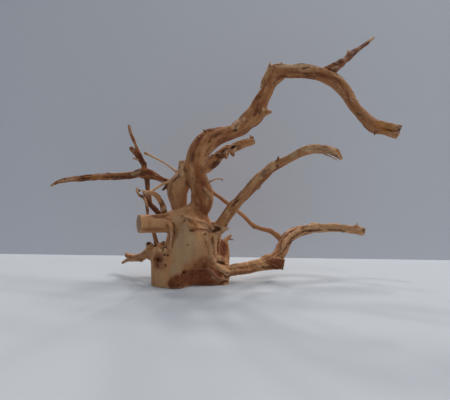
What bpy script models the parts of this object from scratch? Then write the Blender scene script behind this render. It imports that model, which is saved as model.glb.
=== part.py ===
"""A red moor wood root: one grown piece of debarked root wood, sawn flat underneath so that it stands.

Metres, +Z up. The origin is the middle of the sawn underside, +X runs along the long main limb and
-Y is the front. A course lists (x, y, z, thickness) in millimetres along the middle of one limb, from
where it leaves the crown to its broken end. All the limbs are then grown together into one solid.
"""

import bmesh
import bpy
from mathutils import Matrix, Vector

# Driving dimensions, in millimetres
MM = 0.001
STUB_THICKNESS = 21.5
STUB_END = (-53.5, -25.0, 69.8)
STUB_AXIS = (-0.872, -0.485, 0.0)
THINNEST_TWIG = 2.6
FOOT_DEPTH = 8.0
SAW_BLOCK = 200.0
STUB_SAW_BLOCK = 40.0

# Fineness of the solid: the sides and steps of each limb, the grid on which the limbs grow together,
# how far the forks are softened, and the faces that are kept
SIDES_PER_QUARTER = 4
STEPS_PER_POINT = 6
SAME_PLACE = 0.01
GRID = 0.9
SOFTENING = 0.5
SOFTENING_PASSES = 3
FACES_KEPT = 9000

# The crown: swollen lobes that flare into the sawn foot
CROWN = {
    "front_lobe": [
        (10, -1, 88, 20), (4, -5, 71, 34), (1, -7, 54, 40), (-6, -8, 36, 48),
        (-14, -9, 18, 53), (-15, -9, -FOOT_DEPTH, 53),
    ],
    "right_lobe": [
        (18, -1, 72, 18), (24, -2, 58, 28), (26, 0, 46, 32), (24, 0, 28, 40),
        (20, 0, 8, 46), (20, 0, -FOOT_DEPTH, 46),
    ],
    "back_left_lobe": [
        (-6, 14, 78, 22), (-8, 15, 60, 28), (-15, 16, 35, 36), (-18, 15, 12, 40),
        (-18, 15, -FOOT_DEPTH, 40),
    ],
    "back_right_lobe": [
        (10, 12, 76, 24), (12, 15, 58, 32), (15, 18, 35, 38), (16, 18, 12, 42),
        (16, 18, -FOOT_DEPTH, 42),
    ],
    "shoulder": [(-22, -6, 74, 14), (-10, -4, 77, 20), (2, -3, 79, 20)],
    "knot_bulge": [(-14, -6, 24, 30), (-25, -8, 28, 30), (-33, -9, 32, 24), (-40, -10, 34, 15)],
    "bark_plate": [(35, 5, 58, 9), (40, 7, 46, 17), (41, 7, 30, 19), (36, 4, 16, 20)],
    "plate_horn": [(32, 4, 40, 8), (37, 6, 45, 5.4), (44, 9, 50, 5), (49, 12, 52.5, 4), (52, 13, 54.5, 3)],
    "front_strand": [(37, -8, 62, 9), (35, -9, 50, 8), (31, -9, 38, 9), (28, -8, 26, 12)],
    "back_stub": [(6, 20, 42, 24), (10, 34, 47, 17), (13, 46, 52, 13), (15, 53, 56, 12)],
    "back_rib": [(-20, 22, 66, 10), (-24, 26, 50, 13), (-26, 25, 30, 17), (-28, 24, 8, 20)],
}

# The sawn stub runs a little past its end face and is cut square there
SAWN_STUB = {
    "stub": [
        (-3, -3, 68, 21), (-18, -9, 69.5, 22), (-36, -17, 69.8, STUB_THICKNESS),
        (-54, -25, 69.8, STUB_THICKNESS), (-60, -28.3, 69.8, STUB_THICKNESS),
    ],
}

# The two stems, the long main limb with its twig, and the broken branch behind it
UPPER_LIMBS = {
    "main_limb": [
        (10, 2, 54, 31), (14.5, 0, 79, 19), (16, -2, 97, 26), (14.5, -2, 112, 25), (8.5, -1, 125, 26),
        (9, 1, 144, 27), (13.5, 4, 161, 27), (22, 7, 171, 25.5), (38, 11, 177.5, 20.5),
        (51, 14, 180.5, 17), (61, 16, 186, 19), (71, 18, 195, 20), (81, 20, 205, 23), (88.5, 21, 220, 18),
        (95, 22, 236, 15), (99, 22, 251, 16.5), (105, 21, 259, 17.5), (125, 15, 257.5, 17),
        (144, 6, 254, 17), (157, -2, 247, 16), (171, -11, 236, 17), (180, -18, 224, 16.5),
        (184, -22, 214, 13.2), (188, -26, 204, 12.5), (193.5, -30, 195, 12), (199, -34, 186.5, 14),
        (208, -40, 176, 16), (216, -42, 174, 13), (224, -44, 171.5, 14.5), (229.5, -46, 169.5, 15.5),
    ],
    "arch_twig": [
        (168, -9, 241, 6), (176, -4, 253, 6.2), (183, 1, 260.5, 6), (191, 5, 267.5, 5.8),
        (197, 9, 274, 5.4), (207, 16, 283, 4.4), (217, 22, 291, 4), (227, 28, 299.5, 3.2), (237, 34, 308, 2.4),
    ],
    "arch_twig_bump": [(193, 7, 271, 5), (194.5, 7.5, 276, 4), (195, 8, 279, 3)],
    "limb_knob": [(86, 20, 206, 14), (96, 20, 207, 7), (101, 20, 207.5, 4)],
    "elbow_knob": [(101, 21, 258, 11), (100, 20, 266, 6), (101, 20, 270, 3)],
    "second_stem": [
        (-7, 16, 64, 20), (-12, 16, 82, 17.5), (-13, 17, 90, 19), (-14.5, 17, 98, 21),
        (-15, 16, 108, 25), (-11, 13, 118, 25), (-3, 9, 128, 24), (4, 5, 139, 22),
    ],
    "stem_spike": [(-12, 12, 124, 12), (-11, 10, 134, 9), (-10, 9, 142, 4)],
    "back_branch": [
        (11, 10, 130, 12), (21, 18, 139, 14), (30, 25, 150, 11.5), (42.5, 33, 162, 11.5),
        (56, 40, 168, 11), (69, 47, 174.5, 10.5), (82, 53, 180, 11),
    ],
}

# The middle branch, the thin root behind it, and the lower root with its right arm
RIGHT_LIMBS = {
    "middle_branch": [
        (29, -4, 54, 17), (37, -8, 64, 14), (43, -12, 74, 12), (50.5, -16, 85, 12.2), (61, -21, 98, 11.6),
        (73, -27, 111, 12), (81.5, -32, 121, 12), (90, -36, 128.5, 10.8), (103.5, -42, 136, 9.4),
        (116, -47, 142.5, 8.4), (125, -50, 147.5, 9.2), (133.5, -52, 150, 10.4), (141, -53, 150, 9.4),
        (149, -53, 149, 9), (159, -52, 147, 8.2), (165.5, -50, 141, 4),
    ],
    "thin_root": [
        (19, 2, 117, 7), (28, 6, 107, 5.2), (36, 11, 101, 4.4), (45, 15, 94.5, 4.4), (60, 22, 83.5, 4.4),
        (70.5, 26, 75, 4.6), (80, 29, 65, 5.2), (90, 30, 60, 4.6), (101.5, 29, 56.5, 5.2),
        (111.5, 27, 50, 6.4), (117, 22, 44, 7.6),
    ],
    "lower_root": [
        (28, -8, 12, 19), (44, -9, 13.5, 16.5), (57, -8, 16, 15), (70, -4, 16.5, 14.2), (82, 0, 19, 15.6),
        (95, 5, 22, 17), (107, 11, 29.5, 15), (114.5, 17, 39, 14), (120, 23, 47.5, 14),
        (130, 30, 53, 14.6), (142, 37, 56.5, 13.6), (154, 42, 58.5, 12), (167, 46, 59.5, 11.5),
        (181, 46, 59.5, 9.6), (194, 43, 59.5, 9), (204, 38, 58.5, 8.4), (212, 33, 58.5, 10.4),
        (220, 27, 56.5, 10.5),
    ],
    "root_elbow": [(96, 5, 21.5, 17), (106.5, 2, 21, 14.5), (113, 0, 19.5, 10.5)],
    "root_knob": [(74, -5, 15, 8), (77, -6, 10, 5)],
}

# The left branch, and the twigs and rootlets around the stub
LEFT_LIMBS = {
    "left_branch": [
        (-20, 18, 117, 10), (-30.5, 21, 121.5, 7.6), (-41, 24, 126, 7.6), (-51, 27, 133, 7.2),
        (-59.5, 30, 135.5, 7.8), (-70, 33, 131, 7.8), (-83, 37, 129, 8.4), (-98, 42, 128.5, 9.2),
        (-117, 48, 128, 8.6), (-138, 54, 127, 7.4), (-161, 60, 126, 7.4), (-177, 64, 124.5, 6.8),
        (-189, 67, 122, 4.8), (-200, 69, 117, 3),
    ],
    "red_twig": [
        (-26, 10, 67, 6.2), (-37, 12, 80, 4.4), (-43, 14, 87, 4.2), (-49, 16, 93, 4.2),
        (-51.5, 19, 100.5, 3.8), (-54.5, 23, 111, 4), (-56, 27, 121, 4.4), (-58.5, 30, 131.5, 5.8),
        (-61, 31, 140.5, 7), (-64, 30, 148.5, 6.4), (-66.5, 28, 155, 6.4), (-68, 26, 161, 4.6),
        (-71, 23, 171, 3.8), (-74.5, 20, 180.5, 3.6), (-76, 18, 191, 3.4),
    ],
    "red_twig_stub": [(-67, 28, 156, 5), (-71, 27, 160, 4), (-75, 26, 163.5, 4)],
    "pale_twig": [
        (-10.5, 12, 127.5, 3.4), (-16, 13, 131, 2.8), (-26, 17, 139, 2.8), (-38.5, 22, 146.5, 2.8),
        (-49.5, 27, 152.5, 2.8), (-56, 30, 156, 3.4), (-59, 31, 157.5, 4.4),
    ],
    "arched_rootlet": [
        (-28, -2, 77, 6), (-29.5, -2, 85, 5.2), (-30, -3, 91, 5.2), (-32, -5, 95.5, 4.8),
        (-34.5, -8, 101, 4.4), (-37.5, -12, 104.5, 4.8), (-42.5, -16, 105.5, 4.2), (-46, -18, 106, 3),
        (-50, -20, 107.5, 2.6),
    ],
    "side_rootlet": [
        (-19, 12, 120, 4), (-26, 8, 118.5, 3), (-32.5, 3, 115.5, 3), (-36.5, -3, 112, 2.8),
        (-39.5, -9, 109, 2.8), (-43.5, -15, 106.5, 2.8),
    ],
    "tall_rootlet": [
        (-35, -4, 38, 7), (-38, -3, 46, 4.8), (-40, -1, 52, 3.8), (-42, 1, 58, 3.2), (-46, 4, 69, 2.8),
        (-49.5, 6, 80, 2.8), (-50.5, 8, 89, 2.8), (-53, 10, 97, 2.8), (-55.5, 12, 101, 3.2),
        (-61, 14, 104, 2.8), (-64, 15, 107.5, 2.6), (-66.5, 16, 111, 2.6),
    ],
    "loop_root": [
        (-30, -16, 76, 6), (-24, -22, 74, 5), (-19.5, -24, 68, 4.4), (-18, -25, 61, 4.2),
        (-18.5, -25, 53, 4.2), (-20, -23, 44, 6),
    ],
    "low_branch": [
        (-22, 0, 38, 16), (-38, 4, 37.5, 13), (-52, 14, 31, 10.6), (-63, 25, 24, 9.4), (-73.5, 33, 21.5, 8.2),
        (-81, 38, 21, 6.4),
    ],
    "low_branch_upper_tip": [(-77, 35, 22, 6.5), (-82.5, 40, 24.5, 4.4), (-87, 44, 27, 2.8)],
    "low_branch_lower_tip": [(-78, 36, 20.5, 6.5), (-86.5, 42, 17, 3.4), (-93, 46, 13, 2.6)],
    "knot_stub_outer": [(-38, -8, 36, 8), (-42, -8, 41, 6.4), (-45, -8, 44.5, 5.4)],
    "knot_stub_inner": [(-28, -12, 38, 9), (-28, -12, 46, 7)],
}

# Colour and finish of debarked, weathered root wood
WOOD_COLOUR = (0.28, 0.15, 0.075, 1.0)
WOOD_ROUGHNESS = 0.55


def clear_scene():
    """Start from an empty scene."""
    for leftover in list(bpy.data.objects):
        bpy.data.objects.remove(leftover, do_unlink=True)


def limb(name, course):
    """One limb: a round curve that swells and tapers along its course."""
    curve = bpy.data.curves.new(name, "CURVE")
    curve.dimensions = "3D"
    curve.bevel_depth = 1.0
    curve.bevel_resolution = SIDES_PER_QUARTER - 1
    curve.resolution_u = STEPS_PER_POINT
    curve.use_fill_caps = True
    spline = curve.splines.new("BEZIER")
    spline.bezier_points.add(len(course) - 1)
    for point, (x, y, z, thickness) in zip(spline.bezier_points, course):
        point.co = Vector((x, y, z)) * MM
        point.handle_left_type = "AUTO"
        point.handle_right_type = "AUTO"
        point.radius = max(thickness, THINNEST_TWIG) / 2 * MM
    made = bpy.data.objects.new(name, curve)
    bpy.context.scene.collection.objects.link(made)
    return made


def gather(limbs, name):
    """Put the closed surfaces of all the limbs into one mesh, and drop the guide curves."""
    depsgraph = bpy.context.evaluated_depsgraph_get()
    gathered = bmesh.new()
    for one in limbs:
        surface = bpy.data.meshes.new_from_object(one.evaluated_get(depsgraph))
        gathered.from_mesh(surface)
        bpy.data.meshes.remove(surface)
        bpy.data.objects.remove(one, do_unlink=True)
    bmesh.ops.remove_doubles(gathered, verts=gathered.verts, dist=SAME_PLACE * MM)
    bmesh.ops.recalc_face_normals(gathered, faces=gathered.faces)
    mesh = bpy.data.meshes.new(name)
    gathered.to_mesh(mesh)
    gathered.free()
    wood = bpy.data.objects.new(name, mesh)
    bpy.context.scene.collection.objects.link(wood)
    return wood


def saw_block(name, centre, size, direction):
    """A block whose top face, square to the direction, is the plane of a saw cut."""
    mesh = bpy.data.meshes.new(name)
    block = bmesh.new()
    bmesh.ops.create_cube(block, size=size * MM)
    bmesh.ops.translate(block, verts=block.verts, vec=(0, 0, size * MM / 2))
    block.to_mesh(mesh)
    block.free()
    turn = Vector(direction).to_track_quat("Z", "Y").to_matrix().to_4x4()
    mesh.transform(Matrix.Translation(Vector(centre) * MM) @ turn)
    cutter = bpy.data.objects.new(name, mesh)
    bpy.context.scene.collection.objects.link(cutter)
    cutter.hide_render = True
    cutter.display_type = "WIRE"
    return cutter


def grow_together(wood):
    """Fuse the overlapping limbs into one skin, soften the forks and thin out the faces."""
    remesh = wood.modifiers.new("grow_together", "REMESH")
    remesh.mode = "VOXEL"
    remesh.voxel_size = GRID * MM
    soften = wood.modifiers.new("soften_forks", "SMOOTH")
    soften.factor = SOFTENING
    soften.iterations = SOFTENING_PASSES
    depsgraph = bpy.context.evaluated_depsgraph_get()
    fused = wood.evaluated_get(depsgraph).to_mesh()
    fused.calc_loop_triangles()
    triangles = len(fused.loop_triangles)
    wood.evaluated_get(depsgraph).to_mesh_clear()
    thin_out = wood.modifiers.new("thin_out", "DECIMATE")
    thin_out.ratio = FACES_KEPT / triangles


def saw(wood, cutter):
    """Cut the wood off flat where the saw went through."""
    cut = wood.modifiers.new(cutter.name, "BOOLEAN")
    cut.operation = "DIFFERENCE"
    cut.solver = "EXACT"
    cut.object = cutter


def debarked_root_wood():
    """Warm red-brown root wood with its bark off, dry and almost dull."""
    material = bpy.data.materials.new("debarked_root_wood")
    material.use_nodes = True
    shader = material.node_tree.nodes["Principled BSDF"]
    shader.inputs["Base Color"].default_value = WOOD_COLOUR
    shader.inputs["Roughness"].default_value = WOOD_ROUGHNESS
    shader.inputs["Metallic"].default_value = 0.0
    return material


clear_scene()
limbs = []
for group in (CROWN, SAWN_STUB, UPPER_LIMBS, RIGHT_LIMBS, LEFT_LIMBS):
    for limb_name, limb_course in group.items():
        limbs.append(limb(limb_name, limb_course))
root = gather(limbs, "moor_wood_root")
grow_together(root)
saw(root, saw_block("sawn_underside", (0, 0, 0), SAW_BLOCK, (0, 0, -1)))
saw(root, saw_block("sawn_stub_end", STUB_END, STUB_SAW_BLOCK, STUB_AXIS))
root.data.materials.append(debarked_root_wood())
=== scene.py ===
"""A red moor wood root, dug up, stripped of its bark and sawn flat underneath, standing on a pale table."""

import math

import bpy
import numpy as np
import openvdb
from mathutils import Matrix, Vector


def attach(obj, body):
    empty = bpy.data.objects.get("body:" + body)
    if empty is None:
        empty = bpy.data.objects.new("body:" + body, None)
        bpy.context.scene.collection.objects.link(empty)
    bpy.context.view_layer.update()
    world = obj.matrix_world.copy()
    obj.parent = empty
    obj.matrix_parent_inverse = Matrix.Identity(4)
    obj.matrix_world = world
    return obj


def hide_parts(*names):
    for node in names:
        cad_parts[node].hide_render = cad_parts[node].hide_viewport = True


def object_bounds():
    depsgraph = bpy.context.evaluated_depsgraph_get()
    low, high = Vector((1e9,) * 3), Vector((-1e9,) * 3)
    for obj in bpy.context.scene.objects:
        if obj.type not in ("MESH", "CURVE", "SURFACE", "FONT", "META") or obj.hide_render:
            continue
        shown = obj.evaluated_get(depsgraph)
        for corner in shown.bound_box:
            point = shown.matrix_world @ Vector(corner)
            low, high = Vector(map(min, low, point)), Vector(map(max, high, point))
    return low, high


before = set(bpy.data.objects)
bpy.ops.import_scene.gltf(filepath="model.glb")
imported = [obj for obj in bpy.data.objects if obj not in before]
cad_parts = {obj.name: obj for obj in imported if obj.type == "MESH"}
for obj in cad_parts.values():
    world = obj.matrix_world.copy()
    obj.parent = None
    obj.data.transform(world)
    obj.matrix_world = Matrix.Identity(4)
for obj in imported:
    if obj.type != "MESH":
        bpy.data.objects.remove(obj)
cad_low, cad_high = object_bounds()

# The picture: a level view from in front, a forearm's length away and a little above the crown. The
# camera looks along +Y, and the picture is 450 pixels wide and 400 high.
MM = 0.001
PICTURE_WIDE, PICTURE_HIGH = 450, 400
FOCAL_PIXELS = 340
SENSOR_WIDTH = 36
CAMERA_PLACE = np.array([43.8, -408.0, 96.8])

camera_data = bpy.data.cameras.new("camera")
camera_data.sensor_width = SENSOR_WIDTH
camera_data.lens = FOCAL_PIXELS * SENSOR_WIDTH / PICTURE_WIDE
camera = bpy.data.objects.new("camera", camera_data)
camera.location = CAMERA_PLACE * MM
camera.rotation_euler = (math.pi / 2, 0, 0)
bpy.context.scene.collection.objects.link(camera)
bpy.context.scene.camera = camera
bpy.context.scene.view_settings.view_transform = "Standard"


def sight(across, down):
    """The direction from the camera to a pixel of the picture, for one step along +Y."""
    return np.stack([
        (across - PICTURE_WIDE / 2) / FOCAL_PIXELS,
        np.ones(np.shape(across)),
        (PICTURE_HIGH / 2 - down) / FOCAL_PIXELS,
    ], axis=-1)


# The table and the wall behind it: a pale laminate top and matt painted plaster. They meet in one
# straight line, which runs a little nearer on the right. The wall shows from in front only.
TABLE_COLOUR = "#BEC6CF"
WALL_COLOUR = "#D5D9E0"
TABLE_ROUGHNESS = 0.9
WALL_ROUGHNESS = 0.95
WALL_FOOT = ((-1275, 280), (1459, 50))
TABLE_REACH = 2500
WALL_HEIGHT = 1200


def linear(code):
    """An sRGB hex colour as linear red, green, blue and alpha."""
    parts = [int(code[i : i + 2], 16) / 255 for i in (1, 3, 5)]
    return (*[c / 12.92 if c <= 0.04045 else ((c + 0.055) / 1.055) ** 2.4 for c in parts], 1.0)


def plain_sheet(name, corners, colour, roughness):
    """A flat four-cornered sheet in one plain colour, which isn't part of the root."""
    mesh = bpy.data.meshes.new(name)
    mesh.from_pydata([Vector(c) * MM for c in corners], [], [(0, 1, 2, 3)])
    paint = bpy.data.materials.new(name)
    paint.use_nodes = True
    paint.node_tree.nodes["Principled BSDF"].inputs["Base Color"].default_value = linear(colour)
    paint.node_tree.nodes["Principled BSDF"].inputs["Roughness"].default_value = roughness
    mesh.materials.append(paint)
    sheet = bpy.data.objects.new(name, mesh)
    bpy.context.scene.collection.objects.link(sheet)
    return sheet


left, right = WALL_FOOT
table_corners = [(x * TABLE_REACH, y * TABLE_REACH, 0) for x, y in ((-1, -1), (1, -1), (1, 1), (-1, 1))]
plain_sheet("table", table_corners, TABLE_COLOUR, TABLE_ROUGHNESS)
wall = plain_sheet("wall", [(*left, 0), (*right, 0), (*right, WALL_HEIGHT), (*left, WALL_HEIGHT)],
                   WALL_COLOUR, WALL_ROUGHNESS)
wall.visible_shadow = False
paint = wall.data.materials[0].node_tree
see_through = paint.nodes.new("ShaderNodeBsdfTransparent")
either = paint.nodes.new("ShaderNodeMixShader")
facing = paint.nodes.new("ShaderNodeNewGeometry")
paint.links.new(facing.outputs["Backfacing"], either.inputs[0])
paint.links.new(paint.nodes["Principled BSDF"].outputs[0], either.inputs[1])
paint.links.new(see_through.outputs[0], either.inputs[2])
paint.links.new(either.outputs[0], paint.nodes["Material Output"].inputs["Surface"])

# The light: a pale room, a broad lamp on the right, a weak one close in front, and four smaller lamps
# behind the root, which together throw a soft blot of shadow towards the camera. Each lamp is a square
# panel with a place and a width in mm and a power in watts, turned towards the crown.
ROOM_COLOUR = "#C9D1DE"
ROOM_STRENGTH = 0.33
LAMPS = {
    "right_lamp": ((3620, 1320, 4600), 1500, 120),
    "front_lamp": ((600, -740, 1300), 700, 4.2),
    "left_lamp": ((-2730, 2730, 4600), 500, 52),
    "back_lamp_low": ((430, 4900, 3440), 500, 58),
    "back_lamp_high": ((340, 3840, 4600), 500, 42),
    "back_lamp_left": ((-2080, 4450, 3440), 500, 46),
}
LAMP_COLOUR = "#FFF7EE"
LAMP_TARGET = Vector((0, 0, 0.1))

room = bpy.data.worlds.new("room")
room.use_nodes = True
room.node_tree.nodes["Background"].inputs["Color"].default_value = linear(ROOM_COLOUR)
room.node_tree.nodes["Background"].inputs["Strength"].default_value = ROOM_STRENGTH
bpy.context.scene.world = room
for lamp_name, (place, wide, power) in LAMPS.items():
    lamp = bpy.data.lights.new(lamp_name, "AREA")
    lamp.size = wide * MM
    lamp.energy = power
    lamp.color = linear(LAMP_COLOUR)[:3]
    shade = bpy.data.objects.new(lamp_name, lamp)
    shade.location = Vector(place) * MM
    shade.rotation_euler = (LAMP_TARGET - shade.location).to_track_quat("-Z", "Y").to_euler()
    bpy.context.scene.collection.objects.link(shade)

# The crown: the swollen middle of the root, where every limb leaves. It is one lump of dense, pale wood
# that flares in lobes towards the foot. The wood is worked as a carver's block on a fine grid: each
# point of the grid holds its distance to the skin, negative inside, and limbs are grown into it.
GRID = 0.65
ROOM_AROUND = 7.0
FAR = 9.0
BARK_THICK = 0.55
STEP = 2.5
TWIST = 0.012
FRONT = (0.0, -1.0, 0.0)
UPWARDS = (0.0, 0.0, 1.0)
FOOT = -8.0
NOISE_CELLS = 64
NOISE_SEED = 1979
LIMB_SHIFT = 3.7
TINY = 0.001
LOBE_TURN, SMALL_LOBE_TURN = 1.3, 2.6
LOBE_LONG, SMALL_LOBE_LONG = 55, 30
LUMP_WIDE, LUMP_LONG = 7, 9
FIBRE_WIDE, FIBRE_LONG = 1.9, 22
FURROW_LEVEL, FURROW_DEPTH = 0.35, 1.4
FLAKE_WIDE, FLAKE_LONG = 6, 17
CHIP_WIDE, CHIP_LONG = 2.3, 5
BARK_SPREAD, BARK_EDGE, BARK_SHARPNESS = 0.8, 0.62, 5
SCAR_SEED = 71
SCAR_SPAN = (0.08, 0.95)
SCAR_HALF_LONG = (7, 22)
SCAR_SIZE = (0.3, 0.8)
SPLIT_HALF_WIDE = 0.9
SPLIT_SWAY, SPLIT_SWAY_LONG = 0.05, 4.3
KNOT_WIDE = 1.6
KNOT_RIM_HIGH, KNOT_RIM_AT, KNOT_RIM_WIDE = 0.9, 1.3, 0.6
KNOT_PIT_DEEP, KNOT_PIT_WIDE = 1.3, 0.7
THIN_RADIUS, THIN_SHARE = 3, 0.3
FLARE_REACH, END_REACH = 1.2, 8
LEAST_BLEND = 0.05
TOOTH_WIDE, SMALL_TOOTH_WIDE = 2.2, 1.2

LOW = np.array(cad_low) / MM - ROOM_AROUND
SHAPE = np.ceil((np.array(cad_high) / MM + ROOM_AROUND - LOW) / GRID).astype(int)
wood = np.full(SHAPE, FAR, np.float32)
owner = np.zeros(SHAPE, np.int16)
lumps_table = (np.random.default_rng(NOISE_SEED).random((NOISE_CELLS,) * 3) * 2 - 1).astype(np.float32)
# The stains painted on the skin. Most are the wood's own colour, but some red-brown marks are painted shade
# and some pale marks are painted highlights.
stains = {name: np.zeros(SHAPE, np.uint8) for name in ("bark", "bare", "rust_and_shade", "amber", "bleach_and_highlight", "dark")}
limbs = []


def noise(x, y, z):
    """Smooth noise from -1 to 1, one lump to each unit, repeating after NOISE_CELLS units."""
    wrap = NOISE_CELLS - 1
    total = np.zeros(np.shape(x), np.float32)
    cells, shares = [], []
    for value in (x, y, z):
        cell = np.floor(value).astype(np.int32)
        part = (value - cell).astype(np.float32)
        cells.append((cell & wrap, (cell + 1) & wrap))
        smooth = part * part * part * (part * (part * 6 - 15) + 10)
        shares.append((1 - smooth, smooth))
    for i in (0, 1):
        for j in (0, 1):
            for k in (0, 1):
                corner = lumps_table[cells[0][i], cells[1][j], cells[2][k]]
                total += corner * shares[0][i] * shares[1][j] * shares[2][k]
    return total


def smooth_path(course):
    """The points of a course joined by one smooth curve, in short steps: x, y, z and thickness."""
    points = np.array(course, float)
    gaps = np.linalg.norm(np.diff(points[:, :3], axis=0), axis=1)
    slopes = np.diff(points, axis=0) / gaps[:, None]
    slopes = np.vstack([slopes[:1], slopes, slopes[-1:]])
    weights = np.r_[gaps[:1], gaps, gaps[-1:]][:, None]
    leans = (slopes[:-1] * weights[1:] + slopes[1:] * weights[:-1]) / (weights[1:] + weights[:-1])
    path = []
    for start, end, out, into, gap in zip(points, points[1:], leans, leans[1:], gaps):
        t = np.linspace(0, 1, max(2, round(gap / STEP)), endpoint=False)[:, None]
        path.append(
            start * (1 + 2 * t) * (1 - t) ** 2 + end * t * t * (3 - 2 * t)
            + gap * (out * t * (1 - t) ** 2 - into * t * t * (1 - t))
        )
    return np.vstack([*path, points[-1:]])


def directions(path, facing):
    """At each point of a path: the side that faces `facing`, and the third side, square to it."""
    along = np.gradient(path[:, :3], axis=0)
    along /= np.linalg.norm(along, axis=1)[:, None]
    facing = np.array(facing)
    side = facing - (along @ facing)[:, None] * along
    side /= np.linalg.norm(side, axis=1)[:, None]
    return side, np.cross(along, side)


def lengths(path):
    """The length of each step of a path, and the length from its start to each of its points."""
    steps = np.linalg.norm(np.diff(path[:, :3], axis=0), axis=1)
    return steps, np.r_[0, np.cumsum(steps)]


def box_around(points, reach):
    """The part of the grid within reach of these points: as slices, and its first and last places."""
    first = np.maximum(np.floor((points.min(0) - reach - LOW) / GRID).astype(int), 0)
    last = np.minimum(np.ceil((points.max(0) + reach - LOW) / GRID).astype(int) + 1, SHAPE)
    return tuple(slice(a, b) for a, b in zip(first, last)), first, last


def measure(path, side, third, reach, open_end):
    """For the grid around a path: distance to its round skin, length along it, and two offsets."""
    slices, first, last = box_around(path[:, :3], reach + path[:, 3].max() / 2)
    gap, length, front, across = (np.full(last - first, FAR, np.float32) for _ in range(4))
    steps, so_far = lengths(path)
    for i, step in enumerate(steps):
        a, b = path[i], path[i + 1]
        _, near, beyond = box_around(np.array([a[:3], b[:3]]), reach + max(a[3], b[3]) / 2)
        part = tuple(slice(n - f, m - f) for n, m, f in zip(near, beyond, first))
        x, y, z = (
            (LOW[k] + GRID * np.arange(near[k], beyond[k]) - a[k]).astype(np.float32) for k in range(3)
        )
        x, y, z = x[:, None, None], y[None, :, None], z[None, None, :]
        way = (b[:3] - a[:3]) / step
        top = FAR * 3 if open_end and i == len(steps) - 1 else step
        run = np.clip(x * way[0] + y * way[1] + z * way[2], 0, top)
        t = np.minimum(run / step, 1)
        x, y, z = x - run * way[0], y - run * way[1], z - run * way[2]
        off = np.sqrt(x * x + y * y + z * z) - (a[3] + (b[3] - a[3]) * t) / 2
        nearer = off < gap[part]
        gap[part][nearer] = off[nearer]
        length[part][nearer] = (so_far[i] + run)[nearer]
        for target, sides in ((front, side), (across, third)):
            start = x * sides[i][0] + y * sides[i][1] + z * sides[i][2]
            finish = x * sides[i + 1][0] + y * sides[i + 1][1] + z * sides[i + 1][2]
            target[part][nearer] = (start + (finish - start) * t)[nearer]
    return slices, gap, length, front, across


def soft_min(one, other, blend):
    """The nearer of two skins, with the corner between them filled over the distance `blend`."""
    share = np.clip(0.5 + 0.5 * (one - other) / blend, 0, 1)
    return one * (1 - share) + other * share - blend * share * (1 - share)


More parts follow.
